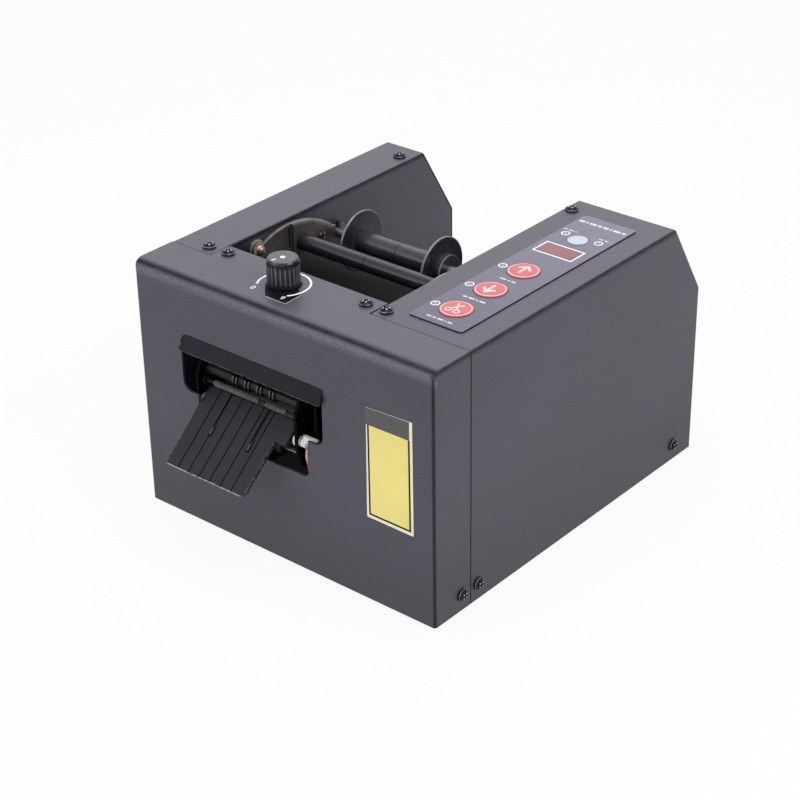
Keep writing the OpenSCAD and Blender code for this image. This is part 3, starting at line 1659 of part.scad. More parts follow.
// An arm from its wall towards the bay
module reel_arm() {
  edge = arm_t * 0.7;
  difference() {
    union() {
      across(0, web_t)
        arm_outline();
      across(0, arm_t) {
        translate([guide_y, guide_z])
          circle(hub_r);
        translate([reel_y, reel_z])
          circle(tail_r);
      }
      intersection() {
        across(0, arm_t)
          arm_blank(guide_y - hub_r, reel_y, 0);
        translate([0, arm_y, arm_cz])
          rotate([0, 90, 0])
            rotate_extrude($fn = 128) {
              square([arm_r - edge, arm_t]);
              square([arm_r, arm_t - edge]);
              translate([arm_r - edge, arm_t - edge])
                circle(edge);
            }
      }
    }
    across(-over, arm_t + 2 * over)
      arm_holes();
    across(web_t - pocket_depth, pocket_depth + over)
      arm_blank(stud_y + stud_boss + rim_w / 2, guide_y - hub_r - rim_w / 2, rim_w);
  }
}

module reel_arm_left() seat() color("#4b4a4d")
  translate([arm_x0, 0, 0])
    reel_arm();

module reel_arm_right() seat() color("#4b4a4d")
  translate([arm_x1 + arm_t, 0, 0])
    mirror([1, 0, 0])
      reel_arm();

module arm_studs() seat() color("#9a6a42") {
  dome_r = stud_d * 0.5;
  wall = [left_fin_w - sheet, box_x + sheet];
  for (s = [0, 1])
    translate([wall[s], stud_y, stud_z])
      rotate([0, s == 0 ? 90 : -90, 0]) {
        translate([0, 0, -2])
          cylinder(d = stud_d + 3, h = 2);
        cylinder(d = stud_d, h = sheet + arm_gap + web_t);
        translate([0, 0, sheet])
          cylinder(r = stud_boss + 0.6, h = arm_gap);
        translate([0, 0, sheet + arm_gap + web_t])
          intersection() {
            translate([0, 0, -dome_r * 0.3])
              sphere(dome_r * 1.2);
            cylinder(r = dome_r * 2, h = dome_r * 2);
          }
      }
}

module machine_screws() seat() color("#1b1b1d") {
  for (f = frame_feet)
    at_foot_screws(f)
      translate([0, 0, frame_t])
        pan_screw(foot_screw_d, 5.2, 1.8, frame_t + base_t);
  face = [arm_x0 + arm_t, arm_x1];
  for (s = [0, 1])
    translate([face[s], bolt_y, bolt_z])
      rotate([0, s == 0 ? 90 : -90, 0]) {
        pan_screw(bolt_d, 2 * bolt_d, bolt_d * 0.7, arm_t + arm_gap + sheet + 3);
        translate([0, 0, -arm_t - arm_gap])
          difference() {
            cylinder(r = bolt_r, h = arm_gap);
            translate([0, 0, -over])
              cylinder(d = bolt_d + 2 * seat_fit, h = arm_gap + 2 * over);
          }
      }
}

module guide_shaft() seat() color("#8f9197")
  bar(arm_x0, arm_x1 + arm_t - arm_x0, guide_y, guide_z, guide_shaft_d);

// Half of a tube that turns on a bar across the bay
module half_tube(x0, l, y, z, d, bore) {
  difference() {
    bar(x0, l, y, z, d);
    bar(x0 - over, l + 2 * over, y, z, bore);
  }
}

module guide_roller() seat() color("#202024") {
  start = arm_x0 + arm_t + clear;
  end = arm_x1 - clear;
  l = (end - start) * 0.46;
  for (x = [[start, start + l], [start + l + half_gap, end]])
    half_tube(x[0], x[1] - x[0], guide_y, guide_z, guide_d, guide_shaft_d + 2 * run_fit);
}

module reel_axle() seat() color("#a9abb0")
  bar(arm_x0, arm_x1 + arm_t - arm_x0, reel_y, reel_z, axle_d);

module reel_halves() seat() color("#1f1f23") {
  half_l = (reel_w - half_gap) / 2;
  for (s = [0, 1])
    translate([reel_cx, reel_y, reel_z])
      rotate([0, s == 0 ? -90 : 90, 0])
        rotate_extrude() {
          bore_r = axle_d / 2 + run_fit;
          translate([bore_r, half_gap / 2])
            square([core_d / 2 - bore_r, half_l]);
          translate([bore_r, reel_w / 2])
            square([flange_d / 2 - flange_t / 2 - bore_r, flange_t]);
          translate([flange_d / 2 - flange_t / 2, reel_w / 2 + flange_t / 2])
            circle(d = flange_t);
          translate([bore_r, reel_w / 2 + flange_t])
            square([hub_d / 2 - bore_r, hub_l]);
        }
}

module power_inlet() seat() color("#161618") {
  flange_r = 3;
  pin_w = 2;
  socket_deep = 16;
  difference() {
    union() {
      deep(body_d, inlet_t)
        translate([inlet_x - inlet_w / 2, inlet_z - inlet_h / 2])
          round_box(inlet_w, inlet_h, flange_r);
      deep(body_d - inlet_deep, inlet_deep)
        translate([inlet_x - inlet_hole_w / 2, inlet_z - inlet_hole_h / 2])
          square([inlet_hole_w, inlet_hole_h]);
    }
    deep(body_d + inlet_t - socket_deep, socket_deep + over)
      translate([inlet_x - inlet_hole_w / 2 + 2, inlet_z - inlet_hole_h / 2 + 2])
        round_box(inlet_hole_w - 4, inlet_hole_h - 4, 2);
  }
  // Contact blades in the socket
  for (p = [[-7, -2], [0, 2], [7, -2]])
    translate([inlet_x + p[0] - pin_w / 2, body_d + inlet_t - socket_deep, inlet_z + p[1] - 2])
      cube([pin_w, socket_deep - 3, 4]);
}

// Frame of the rocker: across, and away from the rear wall
module at_rocker() {
  translate([inlet_x, rocker_axis_y, switch_z])
    children();
}

module rocker_switch() seat() color("#161618") {
  well = rocker_reach + 1;
  difference() {
    union() {
      deep(body_d, switch_t)
        translate([inlet_x - switch_w / 2, switch_z - switch_h / 2])
          round_box(switch_w, switch_h, 1.5);
      deep(body_d - switch_deep, switch_deep)
        translate([inlet_x - switch_body_w / 2, switch_z - switch_body_h / 2])
          square([switch_body_w, switch_body_h]);
    }
    translate([inlet_x - rocker_w / 2 - 0.8, rocker_axis_y - well, switch_z - rocker_h / 2 - clear])
      cube([rocker_w + 1.6, 3 * well, rocker_h + 2 * clear]);
    translate([inlet_x, rocker_axis_y, switch_z - switch_body_h / 2 + 0.6])
      cylinder(d = 2 + 2 * run_fit, h = switch_body_h - 1.2);
  }
}

module switch_rocker() seat() color("#1d1d20") {
  at_rocker() {
    translate([0, 0, -rocker_h / 2])
      rotate(rocker_rest)
        linear_extrude(rocker_h)
          polygon(rocker_outline);
    translate([0, 0, -switch_body_h / 2 + 0.8])
      cylinder(d = 2, h = switch_body_h - 1.6);
  }
}

base_plate();
rubber_feet();
front_cover();
left_cover();
right_cover();
cover_brackets();
cover_screws();
power_supply();
control_overlay();
display_window();
display_module();
control_board();
indicator_leds();
cut_button();
return_button();
feed_button();
power_button();
speed_knob();
knob_shaft();
potentiometer();
visor();
exit_ramp();
ramp_shaft();
ramp_bushes();
switch_flag();
exit_switch();
switch_wire();
exit_roller_shaft();
exit_roller_coil();
ring_roller();
roller_rings();
feed_frame_left();
feed_frame_right();
motor_plate();
tie_rods();
frame_spacers();
feed_roller();
feed_shaft();
pinch_roller();
feed_gear();
motor_pinion();
feed_motor();
cutter_motor();
crank();
blade_carrier();
upper_blade();
lower_blade();
blade_bed();
guide_posts();
reel_arm_left();
reel_arm_right();
arm_studs();
machine_screws();
guide_shaft();
guide_roller();
reel_axle();
reel_halves();
power_inlet();
rocker_switch();
switch_rocker();
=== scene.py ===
"""Looks of an electric tape dispenser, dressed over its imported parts."""
import math

import bmesh
import bpy
from mathutils import Matrix, Vector


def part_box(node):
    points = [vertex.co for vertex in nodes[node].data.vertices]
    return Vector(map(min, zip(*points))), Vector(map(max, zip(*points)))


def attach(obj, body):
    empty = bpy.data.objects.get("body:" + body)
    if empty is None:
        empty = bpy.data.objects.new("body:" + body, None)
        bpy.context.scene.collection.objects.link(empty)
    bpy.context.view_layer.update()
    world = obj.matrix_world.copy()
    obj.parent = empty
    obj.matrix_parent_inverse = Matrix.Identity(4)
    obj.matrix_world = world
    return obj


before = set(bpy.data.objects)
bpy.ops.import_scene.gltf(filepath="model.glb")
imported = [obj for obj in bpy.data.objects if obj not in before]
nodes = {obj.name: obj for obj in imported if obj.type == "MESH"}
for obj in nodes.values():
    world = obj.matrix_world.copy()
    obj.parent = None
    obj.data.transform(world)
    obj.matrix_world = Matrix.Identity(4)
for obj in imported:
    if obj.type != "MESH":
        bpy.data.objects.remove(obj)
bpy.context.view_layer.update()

# Corner of the housing: left face, front panel, lower edge of the covers
CORNER = Vector((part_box("left_cover")[0].x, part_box("front_cover")[0].y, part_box("front_cover")[0].z))
# Covers, in millimetres
BODY_H = 159.0
BODY_W = 220.0
BODY_D = 252.0
FIN_W = 30.4
SEAM_Y = 31.2
TOP_RUN = 223.0
CHAMFER_H = 48.0
CHAMFER = Vector((BODY_D - TOP_RUN, CHAMFER_H)).normalized()
FILM_TOP = BODY_H + 0.6
# Cover screws: plan places on top, and depths and height at the sides
TOP_SCREWS = [(22.4, 38.7), (155.9, 38.7), (37.5, 38.7), (141.4, 38.7), (22.4, 209), (155.9, 209)]
SIDE_SCREW_YS = (23.6, 37.9, 232.8)
SIDE_SCREW_Z = 10.2
# Knob in plan; depth and height of the other axes
KNOB = (89.3, 29.4)
GUIDE_AXIS = (103, 143)
REEL_AXIS = (136, 136.5)
STUD_AXIS = (69, 149)
ARM_ARC = (94.7, 98.3)
# Arm: outer face, radius of its arc, depth where its colour changes
ARM_FACE, ARM_R, ARM_CHANGE = 33.6, 58.0, 104
# Radii: knob's grip, stud's dome, barrel and end lip of the reel, its rim, and farther than any rim
GRIP_R, DOME_R, BARREL_R, END_LIP_R, REEL_RIM_R, NO_RIM = 9.3, 4.0, 10.4, 9.1, 19.3, 1000
# Exit ramp: hinge, tilt, length down the slope, face over the hinge
RAMP_HINGE = (6.5, 80.2)
RAMP_TILT = math.radians(40.6)
RAMP_RUN, RAMP_FACE = 43.7, 5.3
# Power switch: depth of the rocker's axis, tilt at rest, crown of its face and fall to both sides
ROCKER_Y = BODY_D - 2
ROCKER_TILT = math.radians(10)
ROCKER_CROWN, ROCKER_FALL = 4.2, 0.1


def at(x, y, z):
    """A place on the machine in millimetres from its corner, as a point of the row frame in metres."""
    return CORNER + Vector((x, y, z)) / 1000


def placed(name, data):
    """A new object of the scene, at the origin."""
    obj = bpy.data.objects.new(name, data)
    bpy.context.scene.collection.objects.link(obj)
    return obj


# Camera

FOCAL_PX, FRAME_PX = 2091.054, 800
CAMERA_PLACE = (814.252, -724.755, 667.034)
AZIMUTH, ELEVATION, ROLL = (math.radians(a) for a in (40.402, 29.171, 0.957))
back = Vector((math.sin(AZIMUTH) * math.cos(ELEVATION), -math.cos(AZIMUTH) * math.cos(ELEVATION),
               math.sin(ELEVATION)))
level = Vector((math.cos(AZIMUTH), math.sin(AZIMUTH), 0))
upright = back.cross(level)
right = math.cos(ROLL) * level - math.sin(ROLL) * upright
up = math.sin(ROLL) * level + math.cos(ROLL) * upright
lens = bpy.data.cameras.new("photo_camera")
lens.sensor_width = 36
lens.lens = lens.sensor_width * FOCAL_PX / FRAME_PX
lens.clip_start, lens.clip_end = 0.05, 50
camera = placed("photo_camera", lens)
turn = Matrix((right, up, back)).transposed().to_4x4()
camera.matrix_world = Matrix.Translation(at(*CAMERA_PLACE)) @ turn
bpy.context.scene.camera = camera


# Finishes

class Finish:
    """A material whose nodes are laid out by hand."""

    def __init__(self, name):
        self.material = bpy.data.materials.new(name)
        self.material.use_nodes = True
        self.tree = self.material.node_tree
        self.shader = self.tree.nodes["Principled BSDF"]
        self.place = self.add("ShaderNodeTexCoord").outputs["Object"]

    def add(self, kind, **settings):
        node = self.tree.nodes.new(kind)
        for key, value in settings.items():
            setattr(node, key, value)
        return node

    def join(self, source, target):
        self.tree.links.new(source, target)

    def set(self, **sockets):
        names = {"metal": "Metallic", "coat": "Coat Weight", "specular": "Specular IOR Level",
                 "under": "Subsurface Weight"}
        for key, value in sockets.items():
            self.shader.inputs[names[key]].default_value = value

    def moved(self, place=(0, 0, 0), turned=(0, 0, 0), stretch=(1, 1, 1)):
        node = self.add("ShaderNodeMapping", vector_type="TEXTURE")
        node.inputs["Location"].default_value = place
        node.inputs["Rotation"].default_value = turned
        node.inputs["Scale"].default_value = stretch
        self.join(self.place, node.inputs["Vector"])
        return node.outputs["Vector"]

    def grain(self, scale, detail=2.0, rough=0.5, place=None):
        node = self.add("ShaderNodeTexNoise")
        node.inputs["Scale"].default_value = scale
        node.inputs["Detail"].default_value = detail
        node.inputs["Roughness"].default_value = rough
        self.join(place or self.place, node.inputs["Vector"])
        return node.outputs["Fac"]

    def span(self, value, low, high, to_low=0.0, to_high=1.0, smooth=False):
        node = self.add("ShaderNodeMapRange", interpolation_type="SMOOTHSTEP" if smooth else "LINEAR")
        for key, number in (("From Min", low), ("From Max", high), ("To Min", to_low), ("To Max", to_high)):
            node.inputs[key].default_value = number
        self.join(value, node.inputs["Value"])
        return node.outputs["Result"]

    def mm(self, distance, low, high, to_low=0.0, to_high=1.0, smooth=False):
        """A span of a distance on the machine, with its two ends in millimetres."""
        return self.span(distance, low / 1000, high / 1000, to_low, to_high, smooth)

    def sum(self, kind, a, b):
        node = self.add("ShaderNodeMath", operation=kind)
        for socket, value in zip(node.inputs, (a, b)):
            if isinstance(value, (int, float)):
                socket.default_value = value
            else:
                self.join(value, socket)
        return node.outputs[0]

    def blend(self, share, first, second):
        node = self.add("ShaderNodeMix", data_type="RGBA")
        self.join(share, node.inputs["Factor"])
        for socket, value in ((node.inputs[6], first), (node.inputs[7], second)):
            if isinstance(value, tuple):
                socket.default_value = (*value, 1)
            else:
                self.join(value, socket)
        return node.outputs[2]

    def reach(self, place, keep=(0, 1, 1)):
        """Distance from an axis through a place: across the machine, or along the direction not kept."""
        flat = self.add("ShaderNodeVectorMath", operation="MULTIPLY")
        self.join(self.moved(place=place), flat.inputs[0])
        flat.inputs[1].default_value = keep
        length = self.add("ShaderNodeVectorMath", operation="LENGTH")
        self.join(flat.outputs[0], length.inputs[0])
        return length.outputs["Value"]

    def side(self, axis, place=(0, 0, 0), turned=(0, 0, 0)):
        """One coordinate in a turned frame."""
        parts = self.add("ShaderNodeSeparateXYZ")
        self.join(self.moved(place, turned), parts.inputs[0])
        return parts.outputs[axis]

    def cloudy(self, first, second, scale=28):
        """Two colours in soft clouds."""
        return self.blend(self.span(self.grain(scale, 3, 0.6), 0.3, 0.7), first, second)

    def colour(self, source):
        self.join(source, self.shader.inputs["Base Color"])

    def rough(self, source):
        self.join(source, self.shader.inputs["Roughness"])

    def metal(self, source):
        self.join(source, self.shader.inputs["Metallic"])

    def gloss(self, low, high):
        """Uneven roughness between two values."""
        self.rough(self.span(self.grain(160, 3, 0.55), 0.25, 0.75, low, high))

    def relief(self, source, strength, depth):
        node = self.add("ShaderNodeBump")
        node.inputs["Strength"].default_value = strength
        node.inputs["Distance"].default_value = depth
        self.join(source, node.inputs["Height"])
        self.join(node.outputs["Normal"], self.shader.inputs["Normal"])


def shade(colour, factor):
    return tuple(min(1.0, c * factor) for c in colour)


def moulded(name, colour, rough, grain=2600, depth=0.00003, vary=0.18, rough_vary=0.08, **sockets):
    """A moulded or coated finish: cloudy colour, fine grain and uneven gloss."""
    f = Finish(name)
    f.colour(f.cloudy(shade(colour, 1 - vary), shade(colour, 1 + vary)))
    f.gloss(rough - rough_vary, rough + rough_vary)
    f.relief(f.grain(grain, 2, 0.6), 0.35, depth)
    f.set(**sockets)
    return f


def ground_metal(name, colour, rough, along=(1, 60, 60), **sockets):
    """A ground or drawn metal with fine lines along one axis."""
    f = Finish(name)
    lines = f.grain(90, 3, 0.65, f.moved(stretch=tuple(1 / a for a in along)))
    cloud = f.grain(22, 2, 0.5)
    f.colour(f.blend(f.span(cloud, 0.3, 0.7), shade(colour, 0.86), shade(colour, 1.08)))
    f.rough(f.span(lines, 0.25, 0.75, max(0.05, rough - 0.1), rough + 0.12))
    f.relief(lines, 0.2, 0.00004)
    f.set(metal=1.0, **sockets)
    return f


def band(f, along, low, peak, high):
    """A soft band that is full at its peak and gone at both ends, in millimetres along a measure."""
    rise = f.mm(along, low, peak, smooth=True)
    fall = f.mm(along, peak, high, 1, 0, smooth=True)
    return f.sum("MULTIPLY", rise, fall)


def fold_band(f, first, second, low, peak, high):
    """A soft band along the fold of two faces, given the distances under both of them."""
    near = f.mm(f.sum("MINIMUM", first, second), 2.4, 3.2, 1, 0)
    return f.sum("MULTIPLY", near, band(f, f.sum("SUBTRACT", first, second), low, peak, high))


def powder_coat():
    """Satin charcoal powder coat: orange peel, faint clouds, dark seams; painted shade on the folds, in the
    bay and low down, and a painted highlight under the front fold.
    """
    f = Finish("charcoal_powder_coat")
    cloud = f.grain(9, 3, 0.55)
    speck = f.grain(3200, 1, 0.5)
    base = f.blend(f.span(cloud, 0.3, 0.7), (0.045, 0.041, 0.060), (0.052, 0.0475, 0.069))
    base = f.blend(f.span(speck, 0.62, 0.8, 0, 0.35), base, (0.085, 0.08, 0.105))
    x, y, z = (f.side(axis, at(0, 0, BODY_H)) for axis in "XYZ")
    under_top = f.sum("MULTIPLY", z, -1.0)
    behind_shelf = f.mm(y, 44, 47.5)
    # Painted highlight: a pale gritty band on the front panel just under its top fold.
    grit = f.span(f.grain(1150, 2, 0.7), 0.42, 0.62, 0.1, 1)
    fold_highlight = f.sum("MULTIPLY", fold_band(f, y, under_top, -9.5, -5, -1), grit)
    base = f.blend(fold_highlight, base, (0.150, 0.146, 0.172))
    in_fin = f.sum("SUBTRACT", FIN_W / 1000, x)
    # Painted shade: the fin's inner wall in the bay darker far down and along its rear edge, made metallic so
    # it reflects little.
    bay_wall = f.sum("MULTIPLY", band(f, in_fin, -1.2, 0, 1.6), behind_shelf)
    slope = f.sum("MULTIPLY", f.sum("SUBTRACT", y, 0.12), 0.5)
    deep_shade = f.mm(f.sum("SUBTRACT", under_top, slope), 24, 47, smooth=True)
    behind_top = f.sum("SUBTRACT", y, TOP_RUN / 1000)
    fall = f.sum("ADD", f.sum("MULTIPLY", behind_top, CHAMFER.y), f.sum("MULTIPLY", z, CHAMFER.x))
    rear = f.sum("SUBTRACT", BODY_D / 1000, y)
    hem_shade = f.mm(f.sum("MINIMUM", f.sum("MULTIPLY", fall, -1.0), rear), 0.7, 1.6, 1, 0)
    shade_and_seam = f.sum("MULTIPLY", bay_wall, f.sum("MAXIMUM", deep_shade, hem_shade))
    # Dark seam line where the covers meet, at both sides.
    from_right = f.sum("SUBTRACT", BODY_W / 1000, x)
    on_left, on_right = (f.mm(depth, 0.8, 1.6, 1, 0) for depth in (x, from_right))
    seam = band(f, f.sum("SUBTRACT", y, SEAM_Y / 1000), -0.9, 0, 0.9)
    shade_and_seam = f.sum("MAXIMUM", shade_and_seam, f.sum("MULTIPLY", f.sum("MAXIMUM", on_left, on_right), seam))
    base = f.blend(shade_and_seam, base, (0.006, 0.006, 0.007))
    # Painted shade towards the lower edge, with more of it on the right side.
    shadow = (0.018, 0.017, 0.022)
    base = f.blend(f.mm(under_top, 90, 155, 0, 0.4, smooth=True), base, shadow)
    base = f.blend(f.sum("MULTIPLY", on_right, f.mm(under_top, 70, 130, 0, 0.25)), base, shadow)
    uneven = f.span(f.grain(130, 3, 0.6), 0.25, 0.7, 0.7, 1)
    # Painted shade and dark reflection along the folds of the covers, made metallic so they reflect little.
    right_fold = fold_band(f, from_right, under_top, -4.4, -0.9, 1.8)
    front_fold = fold_band(f, y, from_right, -2.2, -0.2, 2.0)
    fin_fold = f.sum("MULTIPLY", fold_band(f, in_fin, under_top, -4.5, -0.6, 0.9), behind_shelf)
    folds = f.sum("MAXIMUM", f.sum("MAXIMUM", right_fold, front_fold), fin_fold)
    folds = f.sum("MAXIMUM", folds, fold_band(f, y, under_top, -2.6, 1.2, 5.5))
    folds = f.sum("MULTIPLY", folds, uneven)
    f.colour(f.blend(folds, base, (0.012, 0.011, 0.017)))
    f.metal(f.sum("MULTIPLY", f.sum("MAXIMUM", folds, shade_and_seam), 0.85))
    f.rough(f.span(f.grain(700, 2, 0.6), 0.3, 0.7, 0.40, 0.52))
    f.relief(f.grain(1500, 2, 0.55), 0.25, 0.00006)
    f.set(specular=0.5)
    return f.material


CHARCOAL = powder_coat()
TRAY_BLACK = moulded("tray_black_paint", (0.0095, 0.0092, 0.0110), 0.5, specular=0.15).material
FOOT_RUBBER = moulded("foot_rubber", (0.013, 0.013, 0.014), 0.8, grain=1200, depth=0.00008).material
SUPPLY_CASE = ground_metal("supply_case_sheet", (0.45, 0.46, 0.48), 0.4).material
DISPLAY_BODY = moulded("display_body", (0.3, 0.1, 0.1), 0.5).material
BOARD_GREEN = moulded("board_green", (0.02, 0.1, 0.05), 0.35).material
LAMP = moulded("lamp_lens", (0.3, 0.3, 0.34), 0.35, vary=0.05).material
RED_KEY = moulded("red_key_film", (0.50, 0.10, 0.108), 0.4, grain=5200, depth=0.00002, vary=0.06).material
POWER_KEY = moulded("power_key_film", (0.45, 0.495, 0.555), 0.35, grain=5200, depth=0.00002,
                    vary=0.05).material
SHAFT_STEEL = ground_metal("shaft_steel", (0.50, 0.50, 0.52), 0.3).material
POT_METAL = ground_metal("plated_fittings", (0.42, 0.42, 0.44), 0.35).material
NYLON = moulded("white_nylon", (0.78, 0.77, 0.74), 0.42, vary=0.05, under=0.08).material
BLACK_PLASTIC = moulded("black_moulding", (0.012, 0.012, 0.013), 0.45, specular=0.3).material
COIL_GREY = moulded("coil_grey", (0.19, 0.185, 0.195), 0.5, grain=1500, depth=0.00008, vary=0.3,
                    specular=0.35).material
SHAFT_BLACK = moulded("shaft_black", (0.010, 0.010, 0.011), 0.45, specular=0.2).material
RING_RUBBER = moulded("ring_rubber", (0.008, 0.008, 0.009), 0.16, rough_vary=0.05, specular=0.7).material
ROLLER_RUBBER = moulded("roller_rubber", (0.045, 0.043, 0.04), 0.7).material
FRAME_BLACK = moulded("frame_black_paint", (0.004, 0.004, 0.005), 0.45, specular=0.02).material
GEAR_NYLON = moulded("gear_nylon", (0.72, 0.7, 0.62), 0.5, vary=0.08).material
PINION_BRASS = ground_metal("pinion_brass", (0.62, 0.44, 0.18), 0.3).material
MOTOR_CAN = ground_metal("motor_can", (0.36, 0.37, 0.39), 0.38).material
BOLT_BLACK = moulded("bolt_brown_black", (0.020, 0.016, 0.013), 0.25, specular=0.6).material
BLADE_STEEL = ground_metal("blade_steel", (0.13, 0.13, 0.14), 0.4).material
KNOB_SHADOW_BLACK = moulded("knob_shadow_black", (0.006, 0.006, 0.007), 0.5, specular=0.03).material
PRINT_WHITE = moulded("print_white", (0.86, 0.86, 0.85), 0.5, grain=4000, depth=0.00001, vary=0.04).material
PRINT_PALE = moulded("print_pale_grey", (0.56, 0.57, 0.61), 0.5, grain=4000, depth=0.00001, vary=0.1).material
PRINT_ROSE = moulded("print_rose", (0.86, 0.53, 0.545), 0.45, grain=4000, depth=0.00001, vary=0.06).material


def visor_finish():
    """Satin black visor, darker towards the right, with a painted highlight along its lower lip."""
    f = Finish("visor_black")
    low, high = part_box("visor")
    base = f.cloudy((0.0115, 0.0110, 0.0165), (0.0155, 0.0150, 0.0205), 40)
    from_left = f.span(f.side("X", low), 0.03, high.x - low.x, 0, 0.5)
    base = f.blend(from_left, base, (0.0075, 0.0072, 0.0098))
    # Painted highlight along the lower lip, broken into patches.
    lip = f.mm(f.side("Z", low), 0.3, 0.9, 1, 0)
    edge_patches = f.span(f.grain(300, 3, 0.7), 0.38, 0.6)
    f.colour(f.blend(f.sum("MULTIPLY", lip, edge_patches), base, (0.22, 0.22, 0.24)))
    f.gloss(0.38, 0.52)
    f.relief(f.grain(2400, 2, 0.6), 0.35, 0.00005)
    f.set(specular=0.12)
    return f.material


def knob_finish():
    """Glossy black knob with a painted sheen on its grip and a painted highlight on the grip's ridges."""
    f = Finish("knob_black")
    base = f.cloudy((0.008, 0.0078, 0.015), (0.012, 0.0118, 0.022))
    # Painted sheen on the fluted grip and painted highlights on its ridges, in patches.
    ridge = f.mm(f.reach(at(*KNOB, 0), (1, 1, 0)), GRIP_R - 0.4, GRIP_R)
    foot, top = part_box("speed_knob")
    over_skirt = f.mm(f.side("Z", foot), 1.8, 2.6)
    grip = f.sum("MULTIPLY", over_skirt, f.mm(f.side("Z", top), -4.2, -3.6, 1, 0))
    highlight_patches = f.span(f.grain(500, 3, 0.6), 0.3, 0.7, 0.55, 1)
    base = f.blend(grip, base, (0.021, 0.0205, 0.029))
    f.colour(f.blend(f.sum("MULTIPLY", f.sum("MULTIPLY", ridge, grip), highlight_patches), base, (0.092, 0.090, 0.108)))
    f.gloss(0.14, 0.28)
    f.relief(f.grain(2600, 2, 0.6), 0.35, 0.00004)
    f.set(specular=0.44)
    return f.material


def wire_finish():
    """Orange-red insulation that starts from a cream sleeve at the lever."""
    f = Finish("wire_orange")
    cloud = f.grain(300, 3, 0.6)
    red = f.blend(f.span(cloud, 0.3, 0.7), (0.42, 0.05, 0.015), (0.62, 0.11, 0.04))
    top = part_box("switch_wire")[1]
    f.colour(f.blend(f.mm(f.side("Z", top), -10, -7), red, (0.78, 0.62, 0.48)))
    f.rough(f.span(cloud, 0.3, 0.7, 0.34, 0.5))
    f.relief(f.grain(1800, 2, 0.6), 0.3, 0.00004)
    return f.material


def overlay_finish():
    """Violet-grey overlay film with painted light and shade: paler towards the rear, and dark along its cut
    edge.
    """
    f = Finish("overlay_film")
    low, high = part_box("control_overlay")
    # Painted light: the film paler towards the rear.
    rear = f.span(f.side("Y", low), 0.0, high.y - low.y)
    base = f.blend(rear, (0.057, 0.053, 0.092), (0.121, 0.116, 0.176))
    base = f.blend(f.span(f.grain(40, 3, 0.6), 0.3, 0.7, 0, 0.3), base, (0.085, 0.081, 0.116))
    # Painted shade along the right and front cut edges, made metallic so they reflect little.
    right_edge = f.mm(f.side("X", high), -0.6, -0.3)
    front_edge = f.mm(f.side("Y", low), 0.3, 0.6, 1, 0)
    walls = f.mm(f.side("Z", high), -0.16, -0.08, 1, 0)
    edge = f.sum("MAXIMUM", f.sum("MAXIMUM", right_edge, front_edge), walls)
    f.colour(f.blend(edge, base, (0.004, 0.004, 0.005)))
    f.metal(f.sum("MULTIPLY", edge, 0.8))
    f.gloss(0.3, 0.42)
    f.relief(f.grain(5200, 2, 0.6), 0.35, 0.00002)
    return f.material


def tinted_window():
    """Red-brown display window with a dull sheen."""
    f = Finish("display_tint")
    cloud = f.grain(60, 2, 0.5)
    f.colour(f.blend(f.span(cloud, 0.3, 0.7), (0.17, 0.045, 0.055), (0.21, 0.06, 0.07)))
    f.rough(f.span(f.grain(120, 2, 0.5), 0.3, 0.7, 0.26, 0.32))
    f.set(specular=0.4)
    return f.material


def roller_finish(name, axis, rim, colour, specular):
    """Satin black plastic round an axis across the machine, with painted shade beyond the barrel and a
    painted highlight on its rim.
    """
    f = Finish(name)
    away = f.reach(at(0, *axis))
    base = f.cloudy(colour, shade(colour, 1.5), 60)
    # Painted shade on the flange faces beyond the barrel.
    base = f.blend(f.mm(away, BARREL_R, BARREL_R + 0.8, 0, 0.6), base, (0.006, 0.006, 0.007))
    # Painted highlight round the rim in patches, and a pale ring on the end lip.
    rim_highlight = f.sum("MULTIPLY", f.mm(away, rim - 0.6, rim - 0.1, smooth=True),
                 f.span(f.grain(180, 3, 0.6), 0.25, 0.65, 0.4, 1))
    end = f.mm(f.side("X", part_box("reel_halves")[1]), -1.0, -0.6)
    lip = f.sum("MULTIPLY", end, f.mm(away, END_LIP_R, END_LIP_R + 0.3))
    f.colour(f.blend(f.sum("MAXIMUM", rim_highlight, lip), base, (0.20, 0.20, 0.22)))
    f.rough(f.span(f.grain(220, 3, 0.6), 0.3, 0.7, 0.2, 0.34))
    f.relief(f.grain(1500, 2, 0.6), 0.25, 0.00003)
    f.set(specular=specular)
    return f.material


